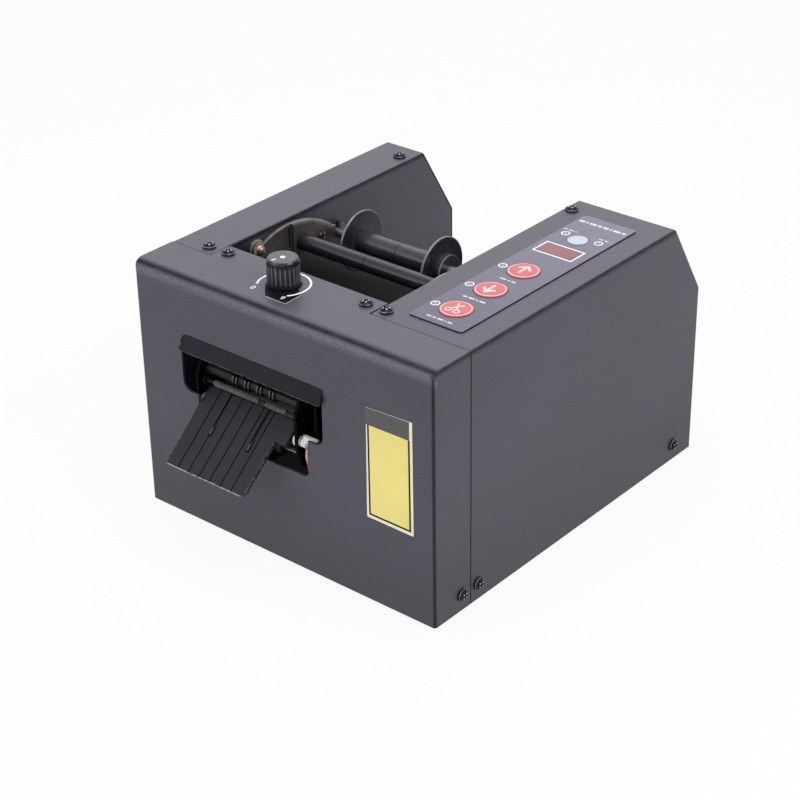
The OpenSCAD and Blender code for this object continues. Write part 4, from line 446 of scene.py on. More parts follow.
def ramp_finish():
    """Black ramp: fine lengthwise rub marks, edges rubbed, a painted highlight on the ridges' tops, and a
    front edge rubbed bright.
    """
    f = Finish("ramp_black")
    hinge, slope = at(0, *RAMP_HINGE), (RAMP_TILT, 0, 0)
    down, square = (f.side(axis, hinge, slope) for axis in "YZ")
    rub = f.grain(260, 3, 0.6, f.moved(hinge, slope, (1, 14, 1)))
    base = f.blend(f.span(rub, 0.35, 0.75), (0.0115, 0.0110, 0.0155), (0.0180, 0.0173, 0.0235))
    base = f.blend(f.span(f.grain(1500, 2, 0.7), 0.55, 0.72, 0, 0.4), base, (0.046, 0.045, 0.054))
    across = f.side("X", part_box("exit_ramp")[0])
    flanks = f.sum("MAXIMUM", f.mm(across, 0.3, 0.8, 1, 0), band(f, across, 60.1, 60.8, 61.5))
    flanks = f.sum("MULTIPLY", flanks, f.mm(down, -9, -8, 1, 0))
    dents = f.span(f.grain(520, 3, 0.7), 0.44, 0.68, 0, 0.9)
    base = f.blend(f.sum("MULTIPLY", flanks, dents), base, (0.16, 0.16, 0.18))
    # Painted highlight on the tops of the ridges.
    ridges = f.mm(square, RAMP_FACE, RAMP_FACE + 0.4, 0, 0.8)
    base = f.blend(ridges, base, (0.075, 0.074, 0.085))
    near_edge = f.mm(down, 0.5 - RAMP_RUN, -RAMP_RUN, smooth=True)
    edge_patches = f.span(f.grain(420, 3, 0.7), 0.38, 0.54)
    f.colour(f.blend(f.sum("MULTIPLY", near_edge, edge_patches), base, (0.42, 0.42, 0.45)))
    f.rough(f.span(rub, 0.3, 0.7, 0.38, 0.55))
    f.relief(f.grain(2400, 2, 0.6), 0.3, 0.00004)
    f.set(specular=0.2)
    return f.material


def cast_arm():
    """Dark cast arm: soft mould texture, brown-grey clouds that are paler on the rear part as a painted
    sheen, and a painted highlight along the edge of its arc.
    """
    f = Finish("cast_arm")
    cloud = f.grain(70, 4, 0.6)
    front = f.blend(f.span(cloud, 0.32, 0.68), (0.034, 0.032, 0.030), (0.060, 0.056, 0.053))
    # The rear part's paler clouds are a painted sheen.
    rear = f.blend(f.span(cloud, 0.32, 0.68), (0.034, 0.031, 0.032), (0.110, 0.099, 0.098))
    base = f.blend(f.mm(f.side("Y", at(0, ARM_CHANGE, 0)), -3, 4, smooth=True), front, rear)
    # Painted highlight along the outer edge of the arc, in patches.
    rim = f.mm(f.reach(at(0, *ARM_ARC)), ARM_R - 0.6, ARM_R + 0.2, smooth=True)
    outer = f.mm(f.side("X", at(ARM_FACE, 0, 0)), -1.1, -0.4, smooth=True)
    highlight_patches = f.span(f.grain(240, 3, 0.6), 0.25, 0.6, 0.5, 1)
    f.colour(f.blend(f.sum("MULTIPLY", f.sum("MULTIPLY", rim, outer), highlight_patches), base, (0.24, 0.225, 0.215)))
    f.rough(f.span(cloud, 0.3, 0.7, 0.34, 0.5))
    f.relief(f.grain(900, 3, 0.6), 0.4, 0.0001)
    f.set(specular=0.35)
    return f.material


def screw_finish():
    """Black oxide, with a painted highlight round the shoulders of the cover screws' heads."""
    f = Finish("screw_black_oxide")
    base = f.cloudy((0.005, 0.0042, 0.010), (0.009, 0.0078, 0.018))
    over_left = f.sum("MULTIPLY", f.side("X", at(0, 0, 0)), -1.0)
    # Painted highlight in patches round the heads' shoulders.
    shoulder = band(f, over_left, 0.75, 1.1, 1.45)
    for axis, place in (("Z", at(0, 0, BODY_H)), ("X", at(BODY_W, 0, 0))):
        shoulder = f.sum("MAXIMUM", shoulder, band(f, f.side(axis, place), 0.75, 1.1, 1.45))
    highlight_patches = f.span(f.grain(420, 2, 0.6), 0.36, 0.6, 0.15, 1)
    f.colour(f.blend(f.sum("MULTIPLY", shoulder, highlight_patches), base, (0.38, 0.38, 0.42)))
    f.gloss(0.14, 0.28)
    f.relief(f.grain(1800, 2, 0.6), 0.35, 0.00003)
    f.set(specular=0.14)
    return f.material


def screw_glint_finish():
    """Patchy bright metal that stands for glints on the screws' black domes: painted highlights."""
    f = Finish("screw_glint_metal")
    patch = f.span(f.grain(900, 2, 0.6), 0.34, 0.5)
    f.colour(f.blend(patch, (0.012, 0.012, 0.014), (0.46, 0.46, 0.50)))
    f.rough(f.span(f.grain(1400, 2, 0.6), 0.3, 0.7, 0.22, 0.4))
    f.relief(f.grain(2600, 2, 0.6), 0.3, 0.00003)
    f.set(metal=1.0)
    return f.material


def bronze_stud():
    """Brown bronze dome over a paler brass washer."""
    f = Finish("stud_bronze")
    cloud = f.grain(330, 3, 0.6)
    dome = f.blend(f.span(cloud, 0.3, 0.7), (0.20, 0.12, 0.09), (0.36, 0.25, 0.20))
    washer = f.blend(f.span(cloud, 0.3, 0.7), (0.62, 0.52, 0.34), (0.85, 0.76, 0.58))
    f.colour(f.blend(f.mm(f.reach(at(0, *STUD_AXIS)), DOME_R - 0.2, DOME_R + 0.2), dome, washer))
    f.rough(f.span(cloud, 0.3, 0.7, 0.26, 0.42))
    f.relief(cloud, 0.2, 0.0001)
    f.set(metal=0.8)
    return f.material


def inlet_finish():
    """Black moulded inlet with plated contact blades in its socket."""
    f = Finish("inlet_black")
    low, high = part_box("power_inlet")
    centre = (low + high) / 2
    base = f.cloudy((0.010, 0.010, 0.011), (0.014, 0.014, 0.015))
    depth = f.side("Y", high)
    blade = f.sum("MULTIPLY", f.mm(depth, -15.7, -15.4), f.mm(depth, -2.6, -2.4, 1, 0))
    for axis, half in (("X", 8.3), ("Z", 4.5)):
        away = f.sum("ABSOLUTE", f.side(axis, centre), 0.0)
        blade = f.sum("MULTIPLY", blade, f.mm(away, half, half + 0.2, 1, 0))
    f.colour(f.blend(blade, base, (0.56, 0.53, 0.47)))
    f.metal(blade)
    f.gloss(0.34, 0.5)
    f.relief(f.grain(2600, 2, 0.6), 0.35, 0.00003)
    f.set(specular=0.3)
    return f.material


KNOB_BLACK = knob_finish()
ROLLER_BLACK = roller_finish("guide_satin_black", GUIDE_AXIS, NO_RIM, (0.0105, 0.0098, 0.0150), 0.38)
REEL_BLACK = roller_finish("reel_satin_black", REEL_AXIS, REEL_RIM_R, (0.0230, 0.0215, 0.0300), 0.46)
DISPLAY_TINT = tinted_window()
VISOR_BLACK = visor_finish()
WIRE_ORANGE = wire_finish()
FILM = overlay_finish()
RAMP_BLACK = ramp_finish()
CAST_ARM = cast_arm()
BRONZE = bronze_stud()
SCREW_GLINT = screw_glint_finish()
SCREW_BLACK = screw_finish()
INLET_BLACK = inlet_finish()

DRESSED = {
    CHARCOAL: ["front_cover", "left_cover", "right_cover"],
    TRAY_BLACK: ["base_plate", "cover_brackets"],
    FOOT_RUBBER: ["rubber_feet"],
    SCREW_BLACK: ["cover_screws"],
    BOLT_BLACK: ["machine_screws"],
    SUPPLY_CASE: ["power_supply"],
    FILM: ["control_overlay"],
    DISPLAY_TINT: ["display_window"],
    DISPLAY_BODY: ["display_module"],
    BOARD_GREEN: ["control_board"],
    LAMP: ["indicator_leds"],
    RED_KEY: ["cut_button", "return_button", "feed_button"],
    POWER_KEY: ["power_button"],
    KNOB_BLACK: ["speed_knob"],
    SHAFT_STEEL: ["knob_shaft", "ramp_shaft", "tie_rods", "feed_shaft", "guide_posts", "guide_shaft",
                  "reel_axle"],
    POT_METAL: ["potentiometer", "frame_spacers", "crank"],
    VISOR_BLACK: ["visor"],
    RAMP_BLACK: ["exit_ramp"],
    NYLON: ["ramp_bushes", "switch_flag"],
    BLACK_PLASTIC: ["exit_switch", "rocker_switch", "switch_rocker"],
    INLET_BLACK: ["power_inlet"],
    WIRE_ORANGE: ["switch_wire"],
    COIL_GREY: ["exit_roller_coil"],
    SHAFT_BLACK: ["exit_roller_shaft", "ring_roller"],
    ROLLER_BLACK: ["guide_roller"],
    REEL_BLACK: ["reel_halves"],
    RING_RUBBER: ["roller_rings"],
    ROLLER_RUBBER: ["feed_roller", "pinch_roller"],
    FRAME_BLACK: ["feed_frame_left", "feed_frame_right", "motor_plate", "blade_carrier", "blade_bed"],
    GEAR_NYLON: ["feed_gear"],
    PINION_BRASS: ["motor_pinion"],
    MOTOR_CAN: ["feed_motor", "cutter_motor"],
    BLADE_STEEL: ["upper_blade", "lower_blade"],
    CAST_ARM: ["reel_arm_left", "reel_arm_right"],
    BRONZE: ["arm_studs"],
}
for material, dressed in DRESSED.items():
    for name in dressed:
        mesh = nodes[name].data
        mesh.materials.clear()
        mesh.materials.append(material)


# Printed marks and labels

# Prints: height over what carries them, and depth into it, in millimetres
PRINT_H, SUNK = 0.05, 0.03


def piece(name, bm, materials, body):
    """A finished mesh piece that moves with a body."""
    bmesh.ops.recalc_face_normals(bm, faces=bm.faces[:])
    mesh = bpy.data.meshes.new(name)
    bm.to_mesh(mesh)
    bm.free()
    for material in materials:
        mesh.materials.append(material)
    obj = placed(name, mesh)
    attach(obj, body)


def plain_mesh(obj):
    """What an object shows, as a mesh of its own."""
    return bpy.data.meshes.new_from_object(obj.evaluated_get(bpy.context.evaluated_depsgraph_get()))


def plate(bm, upper, lower, index=0):
    """A closed thin plate between two outlines of equal length."""
    sides = [(upper[i - 1], lower[i - 1], lower[i], upper[i]) for i in range(len(upper))]
    for corners in [upper, lower[::-1]] + sides:
        bm.faces.new(corners).material_index = index


def slab(bm, corners, floor, height=PRINT_H):
    """A thin flat patch on a level floor."""
    upper, lower = ([bm.verts.new(at(x, y, z)) for x, y in corners] for z in (floor + height, floor - SUNK))
    plate(bm, upper, lower)


def ribbon(bm, path, width, floor, height=PRINT_H, closed=False, put=at):
    """A printed line of even width along a path, following the height floor(x, y) of what carries it."""
    points = [Vector(p) for p in path]
    n = len(points)
    rows = []
    for i, p in enumerate(points):
        before = points[i - 1] if closed or i else None
        after = points[(i + 1) % n] if closed or i < n - 1 else None
        a = (p - before).normalized() if before is not None else (after - p).normalized()
        b = (after - p).normalized() if after is not None else a
        mitre = Vector((-(a + b).y, (a + b).x)).normalized()
        side = mitre * (width / 2 / max(0.35, mitre.dot(Vector((-a.y, a.x)))))
        row = ((p + side, height), (p - side, height), (p - side, -SUNK), (p + side, -SUNK))
        rows.append([bm.verts.new(put(q.x, q.y, floor(q.x, q.y) + lift)) for q, lift in row])
    pairs = zip(rows, rows[1:] + rows[:1]) if closed else zip(rows, rows[1:])
    for first, second in pairs:
        for k in range(4):
            bm.faces.new((first[k], first[(k + 1) % 4], second[(k + 1) % 4], second[k]))
    if not closed:
        for row in (rows[0], rows[-1]):
            bm.faces.new(row)


def arc_path(x, y, r, start, stop, steps):
    turns = [math.radians(start + (stop - start) * i / steps) for i in range(steps + 1)]
    return [(x + r * math.cos(t), y + r * math.sin(t)) for t in turns]


def ring_path(x, y, r, steps=64):
    return arc_path(x, y, r, 0, 360, steps)[:-1]


def level_at(height):
    return lambda x, y: height


def middle(name):
    """Middle of a node in plan, in machine millimetres."""
    low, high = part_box(name)
    place = ((low + high) / 2 - CORNER) * 1000
    return place.x, place.y


KEY_X = middle("cut_button")[0]
KEY_YS = [middle(name)[1] for name in ("cut_button", "return_button", "feed_button")]
POWER_Y = middle("power_button")[1]
# Keys: width, rise of the dome, height of its edge, radius of the printed ring
KEY_D = 19.0
KEY_DOME = KEY_D * 0.035
KEY_EDGE = FILM_TOP + 0.5
KEY_RING_R = 8.5


def fine(path, step=0.6):
    """The same path in short steps, so that it follows a dome."""
    made = []
    for a, b in zip(path, path[1:]):
        n = max(1, math.ceil(math.dist(a, b) / step))
        made += [(a[0] + (b[0] - a[0]) * i / n, a[1] + (b[1] - a[1]) * i / n) for i in range(n)]
    return made + [path[-1]]


def on_key(y):
    """Height of a key's dome over the panel."""
    sphere = ((KEY_D / 2) ** 2 + KEY_DOME ** 2) / (2 * KEY_DOME)

    def height(px, py):
        r2 = (px - KEY_X) ** 2 + (py - y) ** 2
        return KEY_EDGE + KEY_DOME - sphere + math.sqrt(max(0.0, sphere ** 2 - r2))
    return height


def cut_sign(bm, y, floor):
    """Open scissors."""
    for s in (-1, 1):
        ribbon(bm, ring_path(KEY_X + 2.7 * s, y - 3.6, 1.7, 24), 0.9, floor, closed=True)
        ribbon(bm, fine([(KEY_X + 1.8 * s, y - 2.2), (KEY_X - 2.0 * s, y + 5.0)]), 1.1, floor)


def arrow_sign(way):
    """Arrow that points to the rear or to the front."""
    def draw(bm, y, floor):
        ribbon(bm, fine([(KEY_X, y - 4.8 * way), (KEY_X, y + 4.2 * way)]), 1.7, floor)
        head = [(KEY_X - 3.9, y + 0.6 * way), (KEY_X, y + 4.8 * way), (KEY_X + 3.9, y + 0.6 * way)]
        ribbon(bm, fine(head), 1.7, floor)
    return draw


KEY_SIGNS = {"cut_key": cut_sign, "return_key": arrow_sign(-1), "feed_key": arrow_sign(1)}
for (body, sign), y in zip(KEY_SIGNS.items(), KEY_YS):
    bm = bmesh.new()
    floor = on_key(y)
    ribbon(bm, ring_path(KEY_X, y, KEY_RING_R, 72), 0.55, floor, closed=True)
    sign(bm, y, floor)
    piece(body + "_print", bm, [PRINT_ROSE], body)


class PointTree:
    """A Geometry Nodes tree with named sizes that sets one small form on many places."""

    def __init__(self, name, sizes):
        self.sizes = sizes
        self.tree = bpy.data.node_groups.new(name, "GeometryNodeTree")
        self.tree.interface.new_socket("Geometry", in_out="INPUT", socket_type="NodeSocketGeometry")
        for size in sizes:
            self.tree.interface.new_socket(size, in_out="INPUT", socket_type="NodeSocketFloat")
        self.tree.interface.new_socket("Geometry", in_out="OUTPUT", socket_type="NodeSocketGeometry")
        self.entry = self.add("NodeGroupInput")

    def add(self, kind):
        return self.tree.nodes.new(kind)

    def join(self, source, target):
        self.tree.links.new(source, target)

    def feed(self, size, target):
        """Leads a named size to a socket."""
        self.join(self.entry.outputs[size], target)

    def vector(self, **axes):
        """A vector whose axes are named sizes."""
        made = self.add("ShaderNodeCombineXYZ")
        for axis, size in axes.items():
            self.feed(size, made.inputs[axis])
        return made.outputs["Vector"]

    def make(self, name, places, form, material):
        """The form on each place, turned as it says there, as an object with a plain mesh of one material."""
        mesh = bpy.data.meshes.new(name)
        mesh.from_pydata([place for place, turned in places], [], [])
        turns = mesh.attributes.new("turn", "FLOAT_VECTOR", "POINT")
        for value, (place, turned) in zip(turns.data, places):
            value.vector = turned
        obj = placed(name, mesh)
        turn_by = self.add("GeometryNodeInputNamedAttribute")
        to_turn = self.add("FunctionNodeEulerToRotation")
        turn_by.data_type = "FLOAT_VECTOR"
        turn_by.inputs["Name"].default_value = "turn"
        spread, real, paint = (self.add("GeometryNode" + kind) for kind in (
            "InstanceOnPoints", "RealizeInstances", "SetMaterial"))
        paint.inputs["Material"].default_value = material
        leave = self.add("NodeGroupOutput")
        self.join(turn_by.outputs["Attribute"], to_turn.inputs["Euler"])
        self.join(to_turn.outputs["Rotation"], spread.inputs["Rotation"])
        self.join(self.entry.outputs["Geometry"], spread.inputs["Points"])
        self.join(form, spread.inputs["Instance"])
        self.join(spread.outputs["Instances"], real.inputs["Geometry"])
        self.join(real.outputs["Geometry"], paint.inputs["Geometry"])
        self.join(paint.outputs["Geometry"], leave.inputs["Geometry"])
        maker = obj.modifiers.new(self.tree.name, "NODES")
        maker.node_group = self.tree
        for socket in self.tree.interface.items_tree:
            if socket.name in self.sizes:
                maker[socket.identifier] = self.sizes[socket.name]
        made = plain_mesh(obj)
        obj.modifiers.remove(maker)
        made.materials.clear()
        made.materials.append(material)
        made.polygons.foreach_set("material_index", [0] * len(made.polygons))
        obj.data = made
        return obj


# Indicator lamps: steps from a key's middle, and to both sides of the power key's
KEY_LAMP, POWER_LAMP = (-13.8, -1), (11.6, 4.3)


def lamp_rings():
    """White printed rings round the five lamps, one tree for all of them."""
    lamps = [(KEY_X + KEY_LAMP[0], y + KEY_LAMP[1]) for y in KEY_YS]
    lamps += [(KEY_X + s * POWER_LAMP[0], POWER_Y + POWER_LAMP[1]) for s in (-1, 1)]
    t = PointTree("lamp_ring_print", {"Ring radius": 0.0023, "Line width": 0.0009, "Line height": 0.00008})
    ring, line = t.add("GeometryNodeCurvePrimitiveCircle"), t.add("GeometryNodeCurvePrimitiveQuadrilateral")
    sweep = t.add("GeometryNodeCurveToMesh")
    ring.inputs["Resolution"].default_value = 40
    t.feed("Ring radius", ring.inputs["Radius"])
    t.feed("Line width", line.inputs["Width"])
    t.feed("Line height", line.inputs["Height"])
    t.join(ring.outputs["Curve"], sweep.inputs["Curve"])
    t.join(line.outputs["Curve"], sweep.inputs["Profile Curve"])
    lift = 0.02
    places = [(at(x, y, FILM_TOP + lift), (0, 0, 0)) for x, y in lamps]
    obj = t.make("lamp_rings", places, sweep.outputs["Mesh"], PRINT_WHITE)
    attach(obj, "housing")


lamp_rings()


def screw_spots():
    """Painted glints: bright metal spots between the recess arms on the domes of the cover screws, one tree
    for all of them.
    """
    places = [(at(x, y, BODY_H), (0, 0, 0)) for x, y in TOP_SCREWS]
    for x, out in ((0, -1), (BODY_W, 1)):
        places += [(at(x, y, SIDE_SCREW_Z), (0, out * math.pi / 2, 0)) for y in SIDE_SCREW_YS]
    t = PointTree("screw_glint_metal", {"Spot width": 0.00098, "Spot depth": 0.0001, "Spot spread": 0.0022,
                                       "Dome radius": 0.00615, "Dome level": 0.00237})
    corners, spot = t.add("GeometryNodeMeshGrid"), t.add("GeometryNodeMeshCube")
    spots, raised = t.add("GeometryNodeInstanceOnPoints"), t.add("GeometryNodeTransform")
    for axis in "XY":
        t.feed("Spot spread", corners.inputs["Size " + axis])
        corners.inputs["Vertices " + axis].default_value = 2
    t.join(t.vector(X="Spot width", Y="Spot width", Z="Spot depth"), spot.inputs["Size"])
    lean, away = t.add("FunctionNodeAlignRotationToVector"), t.add("ShaderNodeVectorMath")
    t.join(t.add("GeometryNodeInputPosition").outputs["Position"], away.inputs[0])
    t.join(t.vector(Z="Dome radius"), away.inputs[1])
    t.join(away.outputs["Vector"], lean.inputs["Vector"])
    t.join(corners.outputs["Mesh"], spots.inputs["Points"])
    t.join(spot.outputs["Mesh"], spots.inputs["Instance"])
    t.join(lean.outputs["Rotation"], spots.inputs["Rotation"])
    t.join(spots.outputs["Instances"], raised.inputs["Geometry"])
    t.join(t.vector(Z="Dome level"), raised.inputs["Translation"])
    obj = t.make("screw_spots", places, raised.outputs["Geometry"], SCREW_GLINT)
    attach(obj, "housing")


screw_spots()


def inlet_screws():
    """Two flush screws with cross recesses in the inlet's flange, one tree for both."""
    low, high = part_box("power_inlet")
    reach, sunk = Vector((0.020, 0, 0)), 0.0004
    centre = Vector(((low.x + high.x) / 2, high.y - sunk, (low.z + high.z) / 2))
    t = PointTree("inlet_screw", {"Head radius": 0.0031, "Rim radius": 0.0028, "Head depth": 0.0006,
                                  "Recess width": 0.0008, "Recess length": 0.0036})
    head, cut = t.add("GeometryNodeMeshCone"), t.add("GeometryNodeMeshBoolean")
    cut.operation, cut.solver = "DIFFERENCE", "EXACT"
    head.inputs["Vertices"].default_value = 40
    t.feed("Head radius", head.inputs["Radius Bottom"])
    t.feed("Rim radius", head.inputs["Radius Top"])
    t.feed("Head depth", head.inputs["Depth"])
    t.join(head.outputs["Mesh"], cut.inputs["Mesh 1"])
    for along, across in ("XY", "YX"):
        arm, lift = t.add("GeometryNodeMeshCube"), t.add("GeometryNodeTransform")
        size = t.vector(**{along: "Recess length", across: "Recess width", "Z": "Head depth"})
        t.join(size, arm.inputs["Size"])
        t.join(arm.outputs["Mesh"], lift.inputs["Geometry"])
        t.join(t.vector(Z="Head depth"), lift.inputs["Translation"])
        t.join(lift.outputs["Geometry"], cut.inputs["Mesh 2"])
    turned = (-math.pi / 2, math.radians(24), 0)
    places = [(centre - reach, turned), (centre + reach, turned)]
    obj = t.make("inlet_screws", places, cut.outputs["Mesh"], BOLT_BLACK)
    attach(obj, "housing")


inlet_screws()


def dashes(bm, x0, x1, y, width, floor, lengths):
    """A row of short printed dashes between two places."""
    gap = 1.1
    scale = (x1 - x0 - gap * (len(lengths) - 1)) / sum(lengths)
    for length in lengths:
        ribbon(bm, [(x0, y), (x0 + length * scale, y)], width, floor)
        x0 += length * scale + gap


# Rows of dashes: before each key, behind the power key's lamps, and at the rear
KEY_ROW, LAMP_ROW, REAR_ROW = -14.6, 9.4, 24


def panel_print():
    """White frame round the display and plain dashes beside keys and lamps."""
    bm = bmesh.new()
    film = level_at(FILM_TOP)
    low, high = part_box("display_window")
    x, y = middle("display_window")
    clear = 0.65
    w, d = (side * 500 + clear for side in (high.x - low.x, high.y - low.y))
    ribbon(bm, [(x - w, y - d), (x + w, y - d), (x + w, y + d), (x - w, y + d)], 1.0, film, closed=True)
    piece("display_frame_print", bm, [PRINT_WHITE], "housing")
    bm = bmesh.new()
    for y, half, row in zip(KEY_YS, (8.6, 7.6, 5.4), ((3, 2, 4, 1, 3), (2, 3, 1, 3), (3, 1, 2))):
        dashes(bm, KEY_X - half, KEY_X + half, y + KEY_ROW, 1.4, film, row)
    dashes(bm, KEY_X - 16.2, KEY_X - 7, POWER_Y + LAMP_ROW, 1.1, film, (2, 3, 1))
    dashes(bm, KEY_X + 8.4, KEY_X + 14.8, POWER_Y + LAMP_ROW, 1.1, film, (2, 2))
    dashes(bm, KEY_X - 15.6, KEY_X + 16.8, POWER_Y + REAR_ROW, 2.2, film, (3, 1, 4, 2, 3, 1, 4, 2))
    piece("panel_dashes_print", bm, [PRINT_PALE], "housing")


panel_print()

KNOB_TOP = (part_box("speed_knob")[1].z - CORNER.z) * 1000
# Knob's scale: radii of its arc and numbers, size of the numbers, direction of the pointer in degrees
SCALE_R, NUMBER_R, NUMBER_SIZE, POINTER = 15.1, 17.4, 5.4, -106
# Outline of a dark patch on the shelf: painted shadow of the knob.
KNOB_SHADOW_PATCH = [(91.6, 11.8), (106.6, 11.8), (106.2, 25), (98, 31), (84, 27), (83.4, 20.2)]


def numeral(text, x, y, size, name):
    """A plain number of the knob's scale, laid on the shelf."""
    half = 0.03
    curve = bpy.data.curves.new(name, "FONT")
    curve.body = text
    curve.size = size / 1000
    curve.extrude = half / 1000
    curve.align_x = curve.align_y = "CENTER"
    carrier = placed(name + "_text", curve)
    bpy.context.view_layer.update()
    mesh = plain_mesh(carrier)
    bpy.data.objects.remove(carrier)
    mesh.transform(Matrix.Translation(at(x, y, BODY_H + half)))
    mesh.materials.clear()
    mesh.materials.append(PRINT_WHITE)
    obj = placed(name, mesh)
    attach(obj, "housing")


def round_knob(r, turned):
    """A place in plan round the knob's axis."""
    return KNOB[0] + r * math.cos(math.radians(turned)), KNOB[1] + r * math.sin(math.radians(turned))


def knob_print():
    """Scale arc on the shelf, its two end numbers, a painted shadow of the knob as a dark patch and disc with
    a pale edge, and the knob's dot and dash.
    """
    shelf = level_at(BODY_H)
    bm = bmesh.new()
    ribbon(bm, arc_path(*KNOB, SCALE_R, -41, 216, 96), 1.25, shelf)
    piece("knob_scale_print", bm, [PRINT_WHITE], "housing")
    for text, turned, name in (("0", -128, "scale_low"), ("9", -50, "scale_high")):
        numeral(text, *round_knob(NUMBER_R, turned), NUMBER_SIZE, name)
    # Painted shadow of the knob: a dark patch and a disc round its foot, with a pale line along the patch's
    # front edges.
    bm = bmesh.new()
    slab(bm, KNOB_SHADOW_PATCH, BODY_H, 0.02)
    slab(bm, ring_path(*KNOB, 10.4, 48), BODY_H, 0.015)
    piece("knob_shadow_print", bm, [KNOB_SHADOW_BLACK], "housing")
    bm = bmesh.new()
    ribbon(bm, KNOB_SHADOW_PATCH[:3], 0.3, shelf, 0.03)
    piece("knob_shadow_edge", bm, [PRINT_PALE], "housing")
    bm = bmesh.new()
    ribbon(bm, [round_knob(r, POINTER) for r in (4.3, 7.4)], 0.9, level_at(KNOB_TOP))
    slab(bm, ring_path(*KNOB, 1.5, 28), KNOB_TOP)
    piece("knob_pointer_print", bm, [PRINT_WHITE], "knob")


knob_print()


def rocker_print():
    """Line and ring on the two halves of the power switch's rocker, tilted as it rests."""
    low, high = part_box("rocker_switch")
    centre = ((low + high) / 2 - CORNER) * 1000
    c, s = math.cos(ROCKER_TILT), math.sin(ROCKER_TILT)
    mark = 4.2

    def on_rocker(across, upward, out):
        return at(centre.x + across * c - out * s, ROCKER_Y + across * s + out * c, centre.z + upward)

    def crown(across, upward):
        return ROCKER_CROWN - ROCKER_FALL * abs(across)

    bm = bmesh.new()
    ribbon(bm, [(mark, -1.9), (mark, 1.9)], 0.7, crown, put=on_rocker)
    ribbon(bm, ring_path(-mark, 0, 1.7, 32), 0.6, crown, closed=True, put=on_rocker)
    piece("rocker_print", bm, [PRINT_WHITE], "rocker")


rocker_print()


def sticker_finish(name, colour, rough, **sockets):
    return moulded(name, colour, rough, grain=2200, depth=0.00002, vary=0.05, **sockets).material


def front_sticker():
    """Blank yellow sticker: pale margin, dark frame line, yellow field and a dark head."""
    pale = sticker_finish("sticker_margin", (0.91, 0.87, 0.60), 0.4, coat=0.25)
    dark = sticker_finish("sticker_dark", (0.010, 0.010, 0.006), 0.5, specular=0.04)
    head = sticker_finish("sticker_band", (0.060, 0.056, 0.059), 0.35, coat=0.25)
    yellow = sticker_finish("sticker_yellow", (0.91, 0.78, 0.22), 0.38, coat=0.25)
    back_of_film = 0.02
    bm = bmesh.new()

    def panel(corners, lift, index):
        """A thin plate on the front panel."""
        face = [bm.verts.new(at(x, -lift, z)) for x, z in corners]
        wall = [bm.verts.new(at(x, back_of_film, z)) for x, z in corners]
        plate(bm, face, wall, index)

    panel([(172.5, 54.7), (172.9, 54.3), (205.1, 54.2), (205.5, 54.6), (205.4, 124.5), (205.0, 124.8),
           (173.4, 123.2)], 0.10, 0)
    panel([(174.1, 56.2), (203.8, 56.2), (203.6, 113.2), (174.1, 113.2)], 0.12, 1)
    panel([(175.3, 57.4), (202.6, 57.4), (202.4, 113.2), (175.3, 113.2)], 0.14, 2)
    panel([(172.5, 112.8), (203.3, 113.2), (203.4, 124.5), (173.4, 123.1)], 0.16, 3)
    piece("front_sticker", bm, [pale, dark, yellow, head], "housing")


front_sticker()


# Studio

# Strength of the light all round, and share of plain white in the seen floor
SOFT_LIGHT = 0.25
FLOOR_GLOW = 0.92


def lamp(name, place, aim, size, power, colour=(1, 1, 1)):
    """A soft box turned towards a place."""
    light = bpy.data.lights.new(name, "AREA")
    light.shape = "RECTANGLE"
    light.size, light.size_y = size
    light.energy = power
    light.color = colour
    obj = placed(name, light)
    obj.location = place
    obj.rotation_mode = "QUATERNION"
    obj.rotation_quaternion = (Vector(aim) - Vector(place)).to_track_quat("-Z", "Y")


lamp("overhead_box", (0.1, -0.05, 1.55), (0, 0, 0.1), (1.0, 1.0), 14, (0.925, 0.92, 1.0))
lamp("rear_box", (-0.65, 0.85, 1.0), (0, 0, 0.12), (1.3, 0.9), 4)
lamp("front_box", (-0.5, -1.35, 0.85), (0, 0, 0.08), (1.0, 1.0), 10.5, (0.97, 0.97, 1.0))
lamp("right_box", (1.15, 0.05, 0.95), (0, 0, 0.1), (0.8, 0.8), 10, (1.0, 0.97, 0.92))


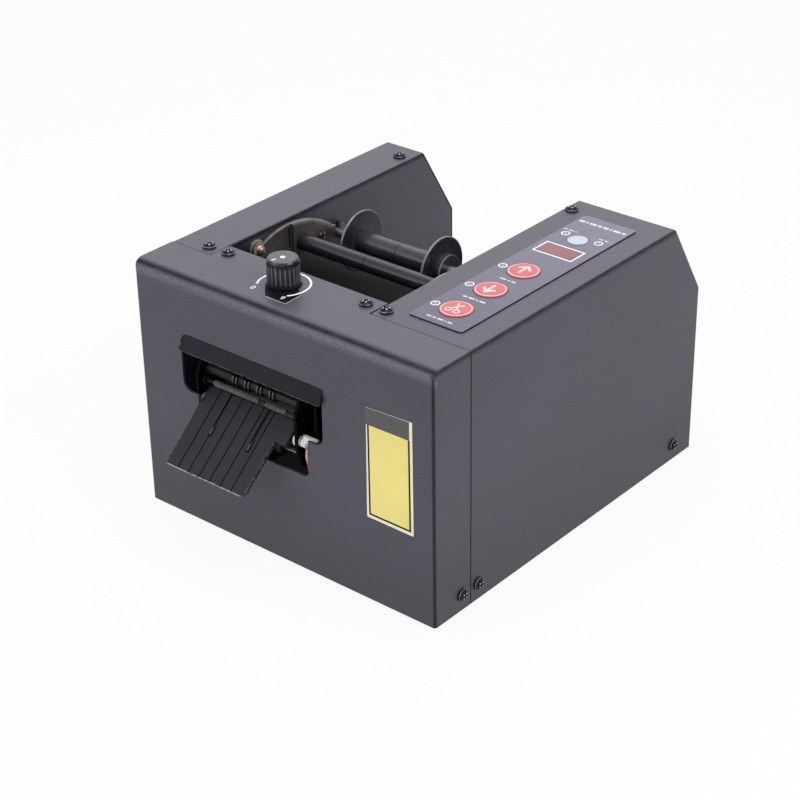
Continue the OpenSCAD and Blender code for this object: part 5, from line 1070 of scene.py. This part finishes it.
def seen_share(tree, share):
    """Share of the plain white that the camera, metal and glass see, and no other ray."""
    rays = tree.nodes.new("ShaderNodeLightPath")
    total = rays.outputs["Is Camera Ray"]
    for kind in ("Is Glossy Ray", "Is Transmission Ray"):
        both = tree.nodes.new("ShaderNodeMath")
        both.operation = "MAXIMUM"
        tree.links.new(total, both.inputs[0])
        tree.links.new(rays.outputs[kind], both.inputs[1])
        total = both.outputs[0]
    part = tree.nodes.new("ShaderNodeMath")
    part.operation = "MULTIPLY"
    part.inputs[1].default_value = share
    tree.links.new(total, part.inputs[0])
    return part.outputs[0]


def studio_world():
    """Soft even light all round, and a white backdrop where it is seen."""
    world = bpy.data.worlds.new("studio")
    bpy.context.scene.world = world
    world.use_nodes = True
    tree = world.node_tree
    soft = tree.nodes["Background"]
    soft.inputs["Strength"].default_value = SOFT_LIGHT
    seen = tree.nodes.new("ShaderNodeBackground")
    seen.inputs["Strength"].default_value = 1.0
    for ground in (soft, seen):
        ground.inputs["Color"].default_value = (1, 1, 1, 1)
    pick = tree.nodes.new("ShaderNodeMixShader")
    tree.links.new(seen_share(tree, 1.0), pick.inputs["Fac"])
    tree.links.new(soft.outputs["Background"], pick.inputs[1])
    tree.links.new(seen.outputs["Background"], pick.inputs[2])
    tree.links.new(pick.outputs["Shader"], tree.nodes["World Output"].inputs["Surface"])


def studio_floor():
    """Pale floor that keeps the soft shadow under the machine."""
    bm = bmesh.new()
    bmesh.ops.create_grid(bm, x_segments=8, y_segments=8, size=6)
    mesh = bpy.data.meshes.new("studio_floor")
    bm.to_mesh(mesh)
    bm.free()
    floor = placed("studio_floor", mesh)
    material = bpy.data.materials.new("pale_floor")
    material.use_nodes = True
    tree = material.node_tree
    plain = tree.nodes["Principled BSDF"]
    plain.inputs["Base Color"].default_value = (0.7, 0.7, 0.7, 1)
    plain.inputs["Roughness"].default_value = 0.9
    glow = tree.nodes.new("ShaderNodeEmission")
    glow.inputs["Color"].default_value = (1, 1, 1, 1)
    glow.inputs["Strength"].default_value = 1.0
    mix = tree.nodes.new("ShaderNodeMixShader")
    tree.links.new(seen_share(tree, FLOOR_GLOW), mix.inputs["Fac"])
    tree.links.new(plain.outputs["BSDF"], mix.inputs[1])
    tree.links.new(glow.outputs["Emission"], mix.inputs[2])
    tree.links.new(mix.outputs["Shader"], tree.nodes["Material Output"].inputs["Surface"])
    mesh.materials.append(material)


studio_world()
studio_floor()
bpy.context.scene.view_settings.view_transform = "Standard"
